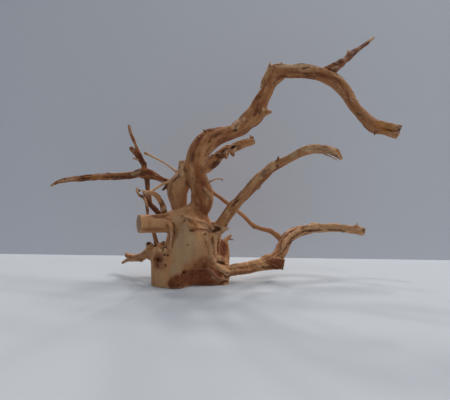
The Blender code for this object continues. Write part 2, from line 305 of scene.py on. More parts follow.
def grow(course, flare=5.0, buried=0.0, meld=1.0, end_meld=1.0, fluting=0.08, lumps=0.06, furrows=0.22,
         splits=0, knots=0, ragged=0.0, bark=0.12, pale=0.35, upright=False, facing=FRONT):
    """Grow one limb into the wood: a fluted, furrowed length that flares where it leaves the rest.

    The first `buried` mm of it lie inside the rest. Splits are drying cracks along the grain, and knots
    are the scars of rootlets that broke off. Bark is left on in thin patches with sharp edges. Plain
    numbers added inside a noise only set one pattern apart from another.
    """
    path = smooth_path(course)
    side, third = directions(path, facing)
    so_far = lengths(path)[1]
    full = so_far[-1]
    slices, gap, length, front, across = measure(path, side, third, ROOM_AROUND - 1, ragged > 0)
    band = gap < ROOM_AROUND - 1
    s, u, v, d = length[band], front[band], across[band], gap[band]
    radius = np.interp(s, so_far, path[:, 3] / 2).astype(np.float32)
    off = np.hypot(u, v) + TINY
    cos, sin = u / off, v / off
    seed = len(limbs) * LIMB_SHIFT
    shape = fluting * radius * noise(cos * LOBE_TURN + seed, sin * LOBE_TURN + 7, s / LOBE_LONG + seed)
    shape = shape + 0.5 * fluting * radius * noise(
        cos * SMALL_LOBE_TURN + seed, sin * SMALL_LOBE_TURN + 19, s / SMALL_LOBE_LONG)
    shape = shape + lumps * radius * noise(
        cos * radius / LUMP_WIDE + 31, sin * radius / LUMP_WIDE + seed, s / LUMP_LONG)
    if upright:
        x, y, z = (LOW + (np.argwhere(band) + [part.start for part in slices]) * GRID).astype(np.float32).T
        grain_u, grain_v, grain_s = -y, x, z
    else:
        turn = TWIST * s
        grain_u = u * np.cos(turn) - v * np.sin(turn)
        grain_v = u * np.sin(turn) + v * np.cos(turn)
        grain_s = s
    fibre = noise(grain_u / FIBRE_WIDE + 11, grain_v / FIBRE_WIDE + seed, grain_s / FIBRE_LONG)
    shape = shape + furrows * (FURROW_LEVEL - np.abs(fibre) * FURROW_DEPTH)
    flakes = noise(grain_u / FLAKE_WIDE + seed, grain_v / FLAKE_WIDE + 5, grain_s / FLAKE_LONG + seed)
    flakes = flakes + 0.6 * noise(grain_u / CHIP_WIDE + 3, grain_v / CHIP_WIDE + seed, grain_s / CHIP_LONG)
    left_on = np.clip((flakes + BARK_SPREAD * bark - BARK_EDGE) * BARK_SHARPNESS, 0, 1) * (bark > 0)
    shape = shape + BARK_THICK * left_on
    chance = np.random.default_rng(len(limbs) + SCAR_SEED)
    angle = np.arctan2(v, u)
    for number in range(splits + knots):
        middle, facing_angle = chance.uniform(*SCAR_SPAN) * full, chance.uniform(-math.pi, math.pi)
        half, size = chance.uniform(*SCAR_HALF_LONG), chance.uniform(*SCAR_SIZE)
        close = np.abs(s - middle) < half
        drift = TWIST * (s[close] - middle) + SPLIT_SWAY * np.sin(s[close] / SPLIT_SWAY_LONG + number)
        turned = (angle[close] - facing_angle + drift + math.pi) % (2 * math.pi) - math.pi
        aside = radius[close] * np.abs(turned)
        if number < splits:
            fade = 1 - ((s[close] - middle) / half) ** 2
            shape[close] -= size * np.clip(1 - (aside / SPLIT_HALF_WIDE) ** 2, 0, 1) * np.sqrt(fade)
        else:
            ring = np.hypot(aside, s[close] - middle) / (KNOT_WIDE * size)
            rim = KNOT_RIM_HIGH * np.exp(-(((ring - KNOT_RIM_AT) / KNOT_RIM_WIDE) ** 2))
            shape[close] += size * (rim - KNOT_PIT_DEEP * np.exp(-((ring / KNOT_PIT_WIDE) ** 2)))
    d = d - shape * np.clip(radius / THIN_RADIUS, THIN_SHARE, 1)
    if ragged:
        tooth = 0.6 * noise(u / TOOTH_WIDE + seed, v / TOOTH_WIDE, s * 0 + 3)
        tooth = tooth + 0.4 * noise(u / SMALL_TOOTH_WIDE, v / SMALL_TOOTH_WIDE + seed, s * 0 + 8)
        d = np.maximum(d, s - full + ragged * (0.5 + 0.5 * tooth))
    out = np.maximum(s - buried, 0)
    blend = meld + (flare - meld) * np.exp(-out / (FLARE_REACH * flare))
    blend = blend + (end_meld - meld) * np.exp((s - full) / END_REACH)
    old = wood[slices][band]
    own = d < old
    for layer, values in ((owner, np.full(len(d), len(limbs))), (stains["bark"], 255 * left_on)):
        kept = layer[slices][band]
        kept[own] = values[own]
        layer[slices][band] = kept
    wood[slices][band] = soft_min(old, d, np.maximum(blend, LEAST_BLEND))
    limbs.append({"path": path, "side": side, "third": third, "upright": upright, "pale": pale})


CROWN = {
    "front_lobe": [(10, -1, 88, 19), (4, -5, 71, 33), (1, -7, 54, 39), (-6, -9, 36, 46), (-13, -11, 18, 49),
                   (-18, -13, 0, 43), (-18, -13, FOOT, 43)],
    "brow": [(6, -7, 52, 36), (4, -9, 38, 40), (3, -10, 25, 36)],
    "right_lobe": [(13, -1, 72, 15), (22, -2, 58, 26), (26, 0, 46, 31), (25, 0, 28, 38), (25, -3, 8, 43),
                   (25, -4, FOOT, 43)],
    "back_left_lobe": [(-6, 14, 78, 22), (-8, 15, 60, 28), (-15, 16, 35, 36), (-18, 15, 12, 40),
                       (-18, 15, FOOT, 40)],
    "back_right_lobe": [(10, 12, 74, 22), (12, 15, 58, 32), (15, 18, 35, 38), (16, 18, 12, 42),
                        (16, 18, FOOT, 42)],
    "shoulder": [(-22, -6, 74, 14), (-10, -4, 77, 20), (2, -3, 79, 20)],
    "knot_bulge": [(-14, -6, 24, 30), (-25, -8, 28, 30), (-33, -9, 33, 23), (-38, -10, 35, 14)],
    "left_foot": [(-27, -10, 33, 22), (-28, -13, 24, 25), (-28, -14, 10, 26), (-27.5, -14, 0, 26.5),
                  (-27.5, -14, FOOT, 26.5)],
    "foot_lip": [(-11, -20, 24, 16), (-11, -24, 12, 21), (-10, -28.5, 0, 21.5), (-10, -28.5, FOOT, 21.5)],
    "foot_middle": [(8, -5, 32, 26), (8, -8, 10, 29), (7, -11.5, 0, 29), (7, -11.5, FOOT, 29)],
    "bark_plate": [(35, 5, 56, 7), (39, 7, 46, 15), (40, 7, 30, 19), (37.5, 4, 14, 20)],
    "front_strand": [(37, -8, 62, 8), (35, -9, 50, 7), (31, -9, 38, 9), (28, -8, 26, 12)],
    "foot_toe": [(30, -6, 14, 24), (37, -11, 6, 21), (38.5, -13, FOOT, 21)],
    "foot_heel": [(38, 3, 16, 18), (39, 3, 6, 17), (39.5, 3, FOOT, 17)],
    "back_rib": [(-20, 22, 66, 10), (-24, 26, 50, 13), (-26, 25, 30, 17), (-28, 24, 8, 20)],
}
PLATE_HORN = [(33, 4, 38, 9), (38, 6, 43, 7), (44, 8, 47.5, 6.4), (48, 9, 50.4, 5), (50.6, 10, 53, 3.4)]
BACK_STUB = [(6, 20, 42, 24), (10, 34, 47, 17), (13, 46, 52, 13), (15, 53, 56, 12)]
for course in CROWN.values():
    grow(course, flare=5, meld=5, end_meld=5, fluting=0.05, lumps=0.03, furrows=0.12, upright=True,
         bark=0.0, pale=0.6)
grow(PLATE_HORN, flare=3)
grow(BACK_STUB, flare=7, buried=14, facing=UPWARDS, ragged=3, splits=3, knots=2)

# The sawn stub: a thick root that leaves the crown to the left, of the same dense pale wood. It was cut
# square with a saw, so its end shows the pale end grain.
STUB_END = (-53.5, -25.0, 69.8)
STUB_AXIS = (-0.872, -0.485, 0.0)
STUB = [(-3, -3, 68, 21), (-18, -9, 69.5, 22), (-36, -17, 69.8, 21.5), (-54, -25, 69.8, 21.5),
        (-60, -28.3, 69.8, 21.5)]
grow(STUB, flare=9, buried=22, fluting=0.04, lumps=0.03, furrows=0.1, bark=0.0, pale=1.0)

# The upper limbs: the main stem with its long arching limb, the second stem that joins it above a
# narrow slit, and the broken branch behind. They are smooth where they were scraped, with the stubs of
# torn rootlets left on them.
MAIN_LIMB = [
    (10, 2, 54, 31), (13.4, 0, 79, 18.5), (17, -2, 98, 28.2), (14.8, -2, 112, 26), (8.3, -1, 125, 25.2),
    (9, 1, 144, 26.4), (14.2, 4, 160, 26.4), (23.2, 7, 169.6, 26.2), (38, 11, 176.8, 21.4),
    (51, 14, 180.8, 17.4), (61, 16, 186, 19.4), (71, 18, 194.8, 21.2), (81.2, 20, 204.6, 23.8),
    (88.6, 21, 220, 19.2),
    (96.8, 22, 236, 15.6), (100.4, 22, 250, 16.5), (105, 21, 257.4, 16.8), (125, 15, 256.2, 15.6),
    (144, 6, 253, 16), (157, -2, 246.4, 15.2), (170.6, -11, 236, 15.2), (179.4, -18, 224, 13.2),
    (184, -22, 214, 11.4), (188, -26, 204, 11.2), (193, -30, 195, 11), (198.4, -34, 186, 12.4),
    (207.4, -40, 175.4, 14.6), (216, -42, 173, 12.6), (224, -44, 170.4, 14.7), (230.5, -46, 168.4, 15.7),
]
ARCH_TWIG = [
    (166, -8, 242, 9), (174.8, -4, 253, 9.4), (182.6, 1, 260.4, 9), (190.6, 5, 267.4, 8.2),
    (197, 9, 273.8, 7),
    (207, 16, 282.8, 6), (217, 22, 290.8, 5.2), (227.4, 28, 299.2, 4.2), (237, 34, 307.8, 2.8),
]
SECOND_STEM = [
    (-7, 16, 64, 20), (-12, 16, 82, 18.6), (-13.6, 17, 90, 19.4), (-15.1, 17, 98, 21.4),
    (-15.8, 16, 108, 26), (-11, 13, 118, 25.6), (-3, 9, 128, 24), (4, 5, 139, 22),
]
BACK_BRANCH = [
    (11, 10, 130, 12), (21, 18, 138.4, 14), (30.4, 25, 149, 12), (43.4, 33, 160.4, 11.6),
    (57, 40, 166.2, 11.2), (70.2, 47, 172.6, 10.8), (84.4, 53, 178, 11),
]
grow(SECOND_STEM, flare=7, buried=18, end_meld=5, fluting=0.08, splits=1, bark=0.0, pale=0.7)
grow(MAIN_LIMB, flare=9, buried=26, fluting=0.09, lumps=0.06, furrows=0.16, ragged=4, splits=4, knots=4,
     bark=0.03, pale=0.28)
grow(ARCH_TWIG, flare=3, lumps=0.3, bark=0.8, pale=0.1, splits=2, knots=2)
grow([(193, 7, 271, 5), (194.5, 7.5, 276, 4), (195, 8, 279, 3)], flare=2, bark=0.7)
grow([(155, -1, 250, 5), (165, -4, 253, 6), (174, -4, 256.4, 7.6)], flare=1.5, bark=0.8, pale=0.1)
grow([(98, 22, 236, 12), (103.6, 21.5, 246.2, 14), (113, 19.5, 253, 13)], flare=4)
grow([(86, 20, 206, 14), (96, 20, 207, 7), (101, 20, 207.5, 4)], flare=3)
grow([(101, 21, 258, 9), (100, 20, 264, 5), (101, 20, 270.5, 1.2)], flare=2)
grow([(-11, 12, 122, 13), (-9.5, 11, 133, 10), (-9, 9, 141, 8), (-9, 8, 146, 7)], flare=4, ragged=3)
grow(BACK_BRANCH, flare=4, ragged=4, lumps=0.16, splits=2, knots=4, pale=0.6)

SEARCH_DEPTH = 80
NEAR_MISS = 1.2
STAIN_FADE = 1.3
PIXEL_STEP = 0.35
WANDER = 0.7
WANDER_PIXELS = 2.1
UNEVEN_PIXELS = 1.7
THINNEST_END = 0.2
BEAD_MELD, CUT_MELD, GAP_MELD = 1.6, 0.7, 0.6
FLAT_CORE, FLAT_FADE = 0.4, 0.5
STRAND_BEND = 7
STRAND_HIGH, PIT_DEEP, TORN_LEVEL = 1.5, 0.5, 0.45
PIT_WIDE = 0.8
TORN_FADE = 1.3
SPRIG_DEPTH = 1


def read_at(layer, points):
    """The value of a layer of the grid at any points, shared out between the grid's own points."""
    place = (points - LOW) / GRID
    cell = np.clip(np.floor(place).astype(int), 0, SHAPE - 2)
    part = np.clip(place - cell, 0, 1)
    total = 0
    for corner in np.ndindex(2, 2, 2):
        weight = np.prod(np.abs(1 - np.array(corner) - part), axis=-1)
        i, j, k = np.moveaxis(cell + corner, -1, 0)
        total = total + weight * layer[i, j, k]
    return total


def skin_at(spots):
    """Where the sight through each pixel meets the wood or just misses it, and the way inwards there.

    A sight that passes clear of the wood is left out; the last list tells which ones were kept.
    """
    spots = np.array(spots, float)
    depths = np.arange(-SEARCH_DEPTH, SEARCH_DEPTH, GRID / 2)
    ways = sight(spots[:, 0], spots[:, 1])
    points = CAMERA_PLACE + ways[:, None, :] * (depths - CAMERA_PLACE[1])[None, :, None]
    gaps = read_at(wood, points)
    first = np.where((gaps < 0).any(1), (gaps < 0).argmax(1), gaps.argmin(1))
    met = gaps.min(1) < NEAR_MISS
    found = points[np.arange(len(spots)), first][met]
    sides = [read_at(wood, found - step) - read_at(wood, found + step) for step in np.eye(3)]
    slope = np.stack(sides, axis=-1)
    return found, slope / (np.linalg.norm(slope, axis=1)[:, None] + TINY), met


def trace(spots):
    """Pixels close together along a line through the given ones, and how far along each of them is."""
    spots = np.array(spots, float)
    if len(spots) == 1:
        return spots, np.array([0.5])
    so_far = np.r_[0, np.cumsum(np.linalg.norm(np.diff(spots, axis=0), axis=1))]
    places = np.linspace(0, so_far[-1], max(2, int(so_far[-1] / PIXEL_STEP)))
    line = np.stack([np.interp(places, so_far, spots[:, i]) for i in (0, 1)], axis=1)
    across, down = line.T
    most = min(WANDER, so_far[-1] / 30)
    wander = [
        most * noise(across / WANDER_PIXELS + 9 * i, down / WANDER_PIXELS, across * 0 + i) for i in (1, 2)
    ]
    return line + np.stack(wander, axis=1), places / so_far[-1]


def ball_around(centre, reach):
    """The part of the grid within reach of a point, and the distance from the point to each place in it."""
    part, first, last = box_around(np.array([centre]), reach)
    x, y, z = (LOW[k] + GRID * np.arange(first[k], last[k]) - centre[k] for k in range(3))
    return part, np.sqrt(x[:, None, None] ** 2 + y[None, :, None] ** 2 + z[None, None, :] ** 2)


def work(marks):
    """Work each mark into the wood with a row of round cuts or beads, and stain it.

    A mark has a width and a height in mm, cut in where the height is negative and only stained where it
    is 0, its stain and the strength of that, and the pixels of the picture that it runs through.
    """
    for width, height, stain, strength, spots in marks.values():
        pixels, shares = trace(spots)
        found, inward, met = skin_at(pixels)
        uneven = 1 + 0.5 * noise(pixels[:, 0] / UNEVEN_PIXELS, pixels[:, 1] / UNEVEN_PIXELS, pixels[:, 0] * 0)
        for point, way, share, swell in zip(found, inward, shares[met], uneven[met]):
            taper = swell * math.sqrt(max(THINNEST_END, math.sin(math.pi * share)))
            half, rise = width / 2 * taper, abs(height) * taper
            shallow = 0 < rise < half
            radius = half
            if shallow and height < 0:
                radius = min((half * half + rise * rise) / (2 * rise), 2 * half)
            levels = np.arange(0, rise - half, half) if rise > half else [0]
            if shallow:
                levels = [(radius - rise) * (1 if height > 0 else -1)]
            for level in levels:
                part, away = ball_around(point + way * level, radius + STAIN_FADE + GRID)
                away = away - radius
                if height > 0:
                    wood[part] = soft_min(wood[part], away, BEAD_MELD)
                if height < 0:
                    wood[part] = -soft_min(-wood[part], away, CUT_MELD)
                soft = STAIN_FADE if height else max(STAIN_FADE, FLAT_FADE * radius)
                shade = 255 * strength * np.clip((1 if height else FLAT_CORE) - away / soft, 0, 1)
                stains[stain][part] = np.maximum(stains[stain][part], shade.astype(np.uint8))


def weather(zones):
    """Roughen each zone into torn strands: its reach, depth and strand width in mm, and its pixels."""
    for reach, depth, strand, spots in zones.values():
        found = skin_at(trace(spots)[0][::3])[0]
        part, first, _ = box_around(found, reach)
        block = wood[part]
        places = (np.argwhere(np.abs(block) < depth + 2 * GRID) + first) * GRID + LOW
        nearest = np.full(len(places), np.inf)
        for point in found:
            nearest = np.minimum(nearest, np.linalg.norm(places - point, axis=1))
        along = found[-1] - found[0]
        along = along / (np.linalg.norm(along) + TINY)
        run = places @ along
        aside = (places - run[:, None] * along) / strand
        bend = noise(run / STRAND_BEND, aside[:, 0] / 3, aside[:, 2] / 3)
        ridges = noise(aside[:, 0] + bend, aside[:, 1] + 5, aside[:, 2] + run / (3 * strand))
        pits = noise(*(places.T / (PIT_WIDE * strand)))
        fade = np.clip(TORN_FADE * (1 - nearest / reach), 0, 1)
        torn = STRAND_HIGH * np.abs(ridges) + PIT_DEEP * pits - TORN_LEVEL
        block[np.abs(block) < depth + 2 * GRID] += depth * fade * torn


def sprout(sprigs):
    """Grow each splinter or twig out of the wood.

    A sprig has a thickness at its root and at its tip, how far the tip leans back in mm, how much bark it
    has kept, and the pixels that it runs through, from its root on the skin.
    """
    for name, (thick, thin, lean, bark, spots) in sprigs.items():
        met_at = skin_at(trace(spots)[0])[0]
        if len(met_at) == 0:
            print("no wood at", name)
            continue
        start = met_at[0]
        shares = np.linspace(0, 1, len(spots))
        depths = start[1] + SPRIG_DEPTH + lean * shares
        points = CAMERA_PLACE + sight(*np.array(spots, float).T) * (depths - CAMERA_PLACE[1])[:, None]
        grow(np.c_[points, thick + (thin - thick) * shares], flare=1.5, lumps=0.3, bark=bark)


def drill(holes):
    """Open each gap right through the wood along the sight.

    A gap has a width in mm, its first and last place along Y, and the pixels that it runs through.
    """
    for width, nearest, farthest, spots in holes.values():
        pixels, _ = trace(spots)
        for depth in np.arange(nearest, farthest, width / 4):
            for point in CAMERA_PLACE + sight(*pixels.T) * (depth - CAMERA_PLACE[1]):
                part, away = ball_around(point, width / 2 + 2)
                wood[part] = -soft_min(-wood[part], away - width / 2, GAP_MELD)


UPPER_SPRIGS = {
    "limb_spike_high": (3.4, 1.4, 0, 1.0, [(205.5, 132.5), (204.4, 131), (203.4, 129.6)]),
    "limb_spike_low": (3.4, 1.4, 0, 1.0, [(200, 138.5), (198.6, 137.4), (197.2, 136.6)]),
    "elbow_splinter": (2.6, 1.4, 0, 1.0, [(281.6, 66.6), (281.4, 64.8), (281.5, 63)]),
    "end_lip": (2.8, 1.4, 0, 1.0, [(376.5, 131), (375.2, 133), (374.3, 134.6)]),
    "stem_twig": (2.6, 1.6, 3, 0.4, [(206.5, 182), (212, 180.6), (216.3, 179), (220, 178.6), (222.6, 180)]),
    "branch_lip": (6.0, 3.6, -2, 1.0, [(214, 163.6), (212.8, 166.4), (210.4, 167.6), (207.4, 167)]),
    "branch_splinter": (2.4, 1.6, 2, 1.0, [(214.5, 167), (217.6, 164.4), (220.6, 161), (222.6, 158.6)]),
    "branch_shelf": (7.0, 4.4, 0, 0.3, [(218, 156.6), (222.6, 156.4), (227, 154.6)]),
    "branch_knob": (5.6, 4.0, 0, 0.3, [(226, 154), (226.3, 156), (226.2, 157.6)]),
    "branch_knob_right": (7.0, 4.8, 0, 0.2, [(231.5, 150.5), (232.4, 153), (232.8, 154.6)]),
    "branch_end_spike": (2.6, 1.2, 0, 1.0, [(252, 137.5), (250.6, 136.2), (249.6, 135.2)]),
}
UPPER_MARKS = {
    "limb_fold": (5.0, 0.8, "amber", 0.7, [(227.5, 127), (230.5, 127.2), (233, 128.4)]),
    "limb_fold_light": (4.6, 0.8, "bleach_and_highlight", 0.9, [(233, 128.6), (237, 125), (239, 121)]),
    "limb_fold_end": (3.0, 0.6, "bleach_and_highlight", 0.9, [(237, 128.6), (238, 126.4)]),
    "limb_fold_pit": (2.2, -1.2, "dark", 0.8, [(234, 129.6), (236.6, 130.8)]),
    "limb_dark_top": (3.6, -0.5, "dark", 0.8, [(240.5, 118), (243, 114.6), (245.5, 112)]),
    "limb_pale_knob": (3.6, 0.8, "bleach_and_highlight", 0.9, [(243.6, 119.2)]),
    "limb_rust_top": (7.0, 0.0, "rust_and_shade", 0.9, [(207, 131), (212, 129), (217, 127.6)]),
    "limb_rust_left": (7.0, 0.0, "rust_and_shade", 0.8, [(196.5, 148), (198, 142), (202, 136)]),
    "limb_amber_left": (4.0, 0.0, "amber", 0.7, [(204, 134), (207, 132.6)]),
    "limb_rust_right": (6.0, 0.0, "rust_and_shade", 0.6, [(215, 145), (221, 141), (226, 138)]),
    "limb_ridge": (5.0, 0.6, "bleach_and_highlight", 0.3, [(203, 165), (208, 153), (216, 146)]),
    "limb_rise_patch": (8.0, 0.0, "rust_and_shade", 0.6, [(255, 115), (258, 108), (262, 102)]),
    "limb_dark_patch": (5.0, -0.6, "dark", 0.8, [(256, 98), (259.5, 96.6)]),
    "limb_rise_groove": (2.0, -0.6, "rust_and_shade", 0.3, [(262, 92), (266, 84), (269.5, 77)]),
    "limb_rise_light": (4.6, 0.5, "bleach_and_highlight", 0.5, [(259, 90), (263, 81), (267.5, 72)]),
    "stub_cut": (4.0, 0.0, "bleach_and_highlight", 0.9, [(263.5, 109.4)]),
    "stub_pit": (2.0, -1.4, "dark", 0.9, [(265.4, 112)]),
    # Painted highlight on the raised knobs of the elbow.
    "elbow_painted_highlight": (6.0, 0.6, "bleach_and_highlight", 0.7, [(267, 69), (269, 71), (269.4, 74)]),
    "elbow_rust": (5.0, 0.0, "rust_and_shade", 0.9, [(276, 80), (281, 77.4), (287, 74.6)]),
    # Painted highlight: a pale band along the lit top of the arch.
    "arch_top_painted_highlight": (5.0, 0.0, "bleach_and_highlight", 0.9, [(276, 66.4), (290, 65.8), (305, 65.8), (318, 67.6)]),
    "arch_pit": (2.2, -1.8, "dark", 1.0, [(302.5, 68.3), (305, 68.4), (309, 67.6)]),
    "arch_flake": (3.0, 0.6, "bleach_and_highlight", 0.7, [(300, 70.4), (305, 70.4), (309, 69.6)]),
    "arch_groove": (1.8, -0.6, "rust_and_shade", 0.4, [(286, 71.4), (296, 72.4), (306, 73.6), (316, 73)]),
    "arch_rust": (6.0, 0.0, "rust_and_shade", 0.5, [(316, 73), (326, 74.6), (336, 80), (343, 86)]),
    # Painted shade: a faint red-brown darkening along the underside of the arch.
    "arch_under_painted_shade": (3.0, 0.0, "rust_and_shade", 0.2, [(284, 79), (292, 76), (306, 76), (320, 78.6)]),
    "arch_bow": (2.4, -0.6, "rust_and_shade", 0.4, [(328, 73), (338, 81), (345, 91), (351, 102)]),
    "arch_amber": (3.4, 0.3, "amber", 0.8, [(338, 76.8), (344, 81.2), (349, 87.4), (354.6, 96)]),
    "twig_foot_flecks": (3.0, 0.6, "bleach_and_highlight", 0.9, [(332.6, 69.4), (336.8, 67.2)]),
    "twig_foot_dark": (2.6, -0.8, "dark", 0.9, [(328, 69.8), (334.6, 71.6)]),
    "arch_end_amber": (9.0, 0.0, "amber", 0.7, [(376, 122), (386, 127), (394, 128)]),
    "arch_end_ridge": (4.0, 0.7, "bleach_and_highlight", 0.5, [(378, 121.6), (388, 124.6), (397, 126)]),
    "arch_end_groove": (2.0, -0.8, "rust_and_shade", 0.5, [(380, 128), (388, 130), (396, 131)]),
    "end_notch": (3.0, -3.4, "dark", 0.9, [(398.6, 130.4), (401.6, 131.6)]),
    "stem_crack": (1.2, -1.0, "dark", 0.5, [(202, 188), (205.4, 193), (208.6, 198), (212, 204)]),
    "stem_slit": (1.5, -1.0, "rust_and_shade", 0.6, [(209.6, 187.6), (210.6, 190.6), (212, 193.4)]),
    "stem_flap": (3.4, 0.8, "bleach_and_highlight", 0.6, [(205.4, 189.6), (208.6, 194.4), (211.6, 199.6)]),
    "stem_strip": (2.4, 0.6, "dark", 0.5, [(205.6, 173.7), (206.6, 178), (207.4, 181.3)]),
    "stem_left_ridge": (6.0, 0.8, "bleach_and_highlight", 0.3, [(191.6, 164), (191, 178), (193, 193)]),
    "stem_rust": (14.0, 0.0, "rust_and_shade", 0.6, [(200, 168), (201, 184), (202, 203)]),
    "stem_amber": (4.0, 0.0, "amber", 0.6, [(188, 160), (188.6, 170), (187.6, 180)]),
    "branch_dark": (7.0, 0.0, "dark", 0.7, [(209, 166), (214, 165), (219, 162)]),
    "branch_hollow": (3.0, -2.2, "dark", 1.0, [(231, 149.4), (233.4, 147), (235, 146.4)]),
    "branch_hollow_rim": (3.4, 0.8, "bleach_and_highlight", 0.9, [(230, 150), (233, 150.4), (236, 148.6)]),
    "branch_pit": (2.0, -1.2, "dark", 1.0, [(228, 153)]),
    "branch_amber": (6.0, 0.0, "amber", 0.7, [(236, 144.6), (243, 141.6), (249, 139)]),
    "branch_end_dark": (4.0, -1.0, "dark", 0.9, [(253.4, 138), (255, 140)]),
    "second_rib": (3.0, 0.6, "amber", 0.7, [(184.6, 184), (185, 188)]),
    "second_pale": (18.0, 0.0, "bleach_and_highlight", 0.15, [(179, 186), (178, 196), (178, 207)]),
    "second_rust": (6.0, 0.0, "rust_and_shade", 0.6, [(172, 184), (170, 192), (173, 200)]),
    "second_rim": (3.4, 0.6, "bleach_and_highlight", 0.8, [(162, 185), (167, 182.4), (172, 179.4), (176, 174.4)]),
    "second_rim_low": (2.2, -0.8, "dark", 0.9, [(172, 182), (175.4, 179), (178, 177)]),
    "web_slit": (1.8, -1.0, "rust_and_shade", 0.7, [(184.2, 166), (184.4, 169), (184.6, 172)]),
    "web_light": (2.6, 0.5, "bleach_and_highlight", 0.8, [(181, 164), (182.6, 168), (182.4, 172)]),
    "web_green": (4.0, 0.0, "bare", 0.9, [(178.6, 164), (178.8, 170), (180, 175)]),
    "web_fleck": (2.4, 0.6, "bleach_and_highlight", 1.0, [(182.6, 173.6), (183, 175)]),
}
UPPER_TORN = {
    "web": (7.0, 1.3, 2.0, [(180.6, 162), (180.6, 168), (179, 176)]),
    "second_rim": (5.0, 1.0, 2.0, [(170, 183), (174, 179.4), (177, 176)]),
    "stem_right": (7.0, 0.4, 2.6, [(203, 187), (207, 195), (211, 204)]),
    "limb_left": (8.0, 0.6, 3.0, [(196, 150), (200, 141), (206, 133)]),
    "limb_fold": (7.0, 0.9, 2.2, [(227, 128), (233, 128), (239, 122)]),
    "limb_rise": (8.0, 0.5, 2.6, [(252, 112), (259, 102), (262, 92)]),
    "elbow": (8.0, 0.8, 2.4, [(267, 76), (270, 68), (278, 64)]),
    "arch_pits": (6.0, 0.8, 2.2, [(299, 69), (305, 69), (311, 69)]),
    "arch_bow": (9.0, 0.5, 2.6, [(318, 71), (334, 76), (346, 88), (355, 101)]),
    "twig_foot": (5.0, 1.0, 1.8, [(331, 70), (335, 68), (338, 65)]),
    "arch_end": (8.0, 1.0, 2.2, [(384, 127), (392, 129), (400, 130)]),
    "branch_start": (7.0, 0.8, 2.2, [(211, 166), (217, 161), (224, 156)]),
    "branch_middle": (7.0, 1.4, 2.0, [(226, 153), (232, 149), (239, 146)]),
    "branch_end": (7.0, 1.0, 2.0, [(244, 143), (250, 140), (255, 138)]),
}
sprout(UPPER_SPRIGS)
weather(UPPER_TORN)
work(UPPER_MARKS)

# The right limbs: the middle branch with its split, hollow tip, the thin root behind it, and the lower
# root, which is broken off short at its elbow and goes on upwards as a grooved arm.
MIDDLE_BRANCH = [
    (29, -4, 54, 17), (37, -8, 64, 14), (43.2, -12, 74, 12), (50.8, -16, 85, 12), (61.4, -21, 97.8, 11.4),
    (73.6, -27, 110.6, 11.6), (82, -32, 120.6, 12), (90.2, -36, 128.4, 11.2), (103.5, -42, 136.2, 10),
    (116, -47, 142.6, 8.8), (125, -50, 147.4, 9.4), (133.5, -52, 149.8, 10.2), (141, -53, 149.8, 9.2),
    (149, -53, 149, 8.8), (159, -52, 146.6, 8), (165.5, -50, 141, 4),
]
THIN_ROOT = [
    (19, 2, 117, 7), (28, 6, 107, 5.2), (36, 11, 101, 4.4), (45, 15, 94.2, 4.6), (59.6, 22, 82.8, 4.8),
    (70, 26, 74.2, 4.8), (79.6, 29, 64.4, 5.4), (90, 30, 59.8, 5.2), (101.5, 29, 56.8, 6),
    (112, 27, 50.6, 8), (117, 22, 44, 9),
]
LOWER_ROOT = [
    (28, -8, 12.6, 18.4), (44, -9, 13.6, 15.6), (52, -9, 14.2, 14.4), (60, -7.5, 15.2, 13.4),
    (70, -4, 15.6, 13.4),
    (82, 0, 17.6, 14), (95, 5, 20.6, 16), (108.6, 11, 28, 15.6), (116.4, 17, 38.4, 15), (122, 23, 47, 14.8),
    (131, 30, 53, 14.8), (142, 37, 56.5, 13.6), (154, 42, 58.5, 12), (167, 46, 59.5, 11.5),
    (181, 46, 59.5, 10.4), (194, 43, 59.5, 9.8), (204, 38, 58.5, 9.2), (213, 33, 58, 10.6),
    (223.4, 26, 56, 10),
]
grow(MIDDLE_BRANCH, flare=7, buried=13, fluting=0.12, lumps=0.12, splits=3, knots=4, bark=0.05, pale=0.45)
grow([(30, -4, 66, 10), (34, -6, 68, 7), (37, -7.5, 70.6, 5)], flare=2, bark=0.0)
grow(THIN_ROOT, flare=3, end_meld=5, lumps=0.2, splits=2, knots=2)
grow(LOWER_ROOT, flare=8, buried=14, fluting=0.12, ragged=4, lumps=0.12, splits=2, knots=4, pale=0.65)
grow([(96, 5, 21, 16), (106.5, 2, 20.6, 14.5), (115, 0, 19.2, 11.5)], flare=4, ragged=2)

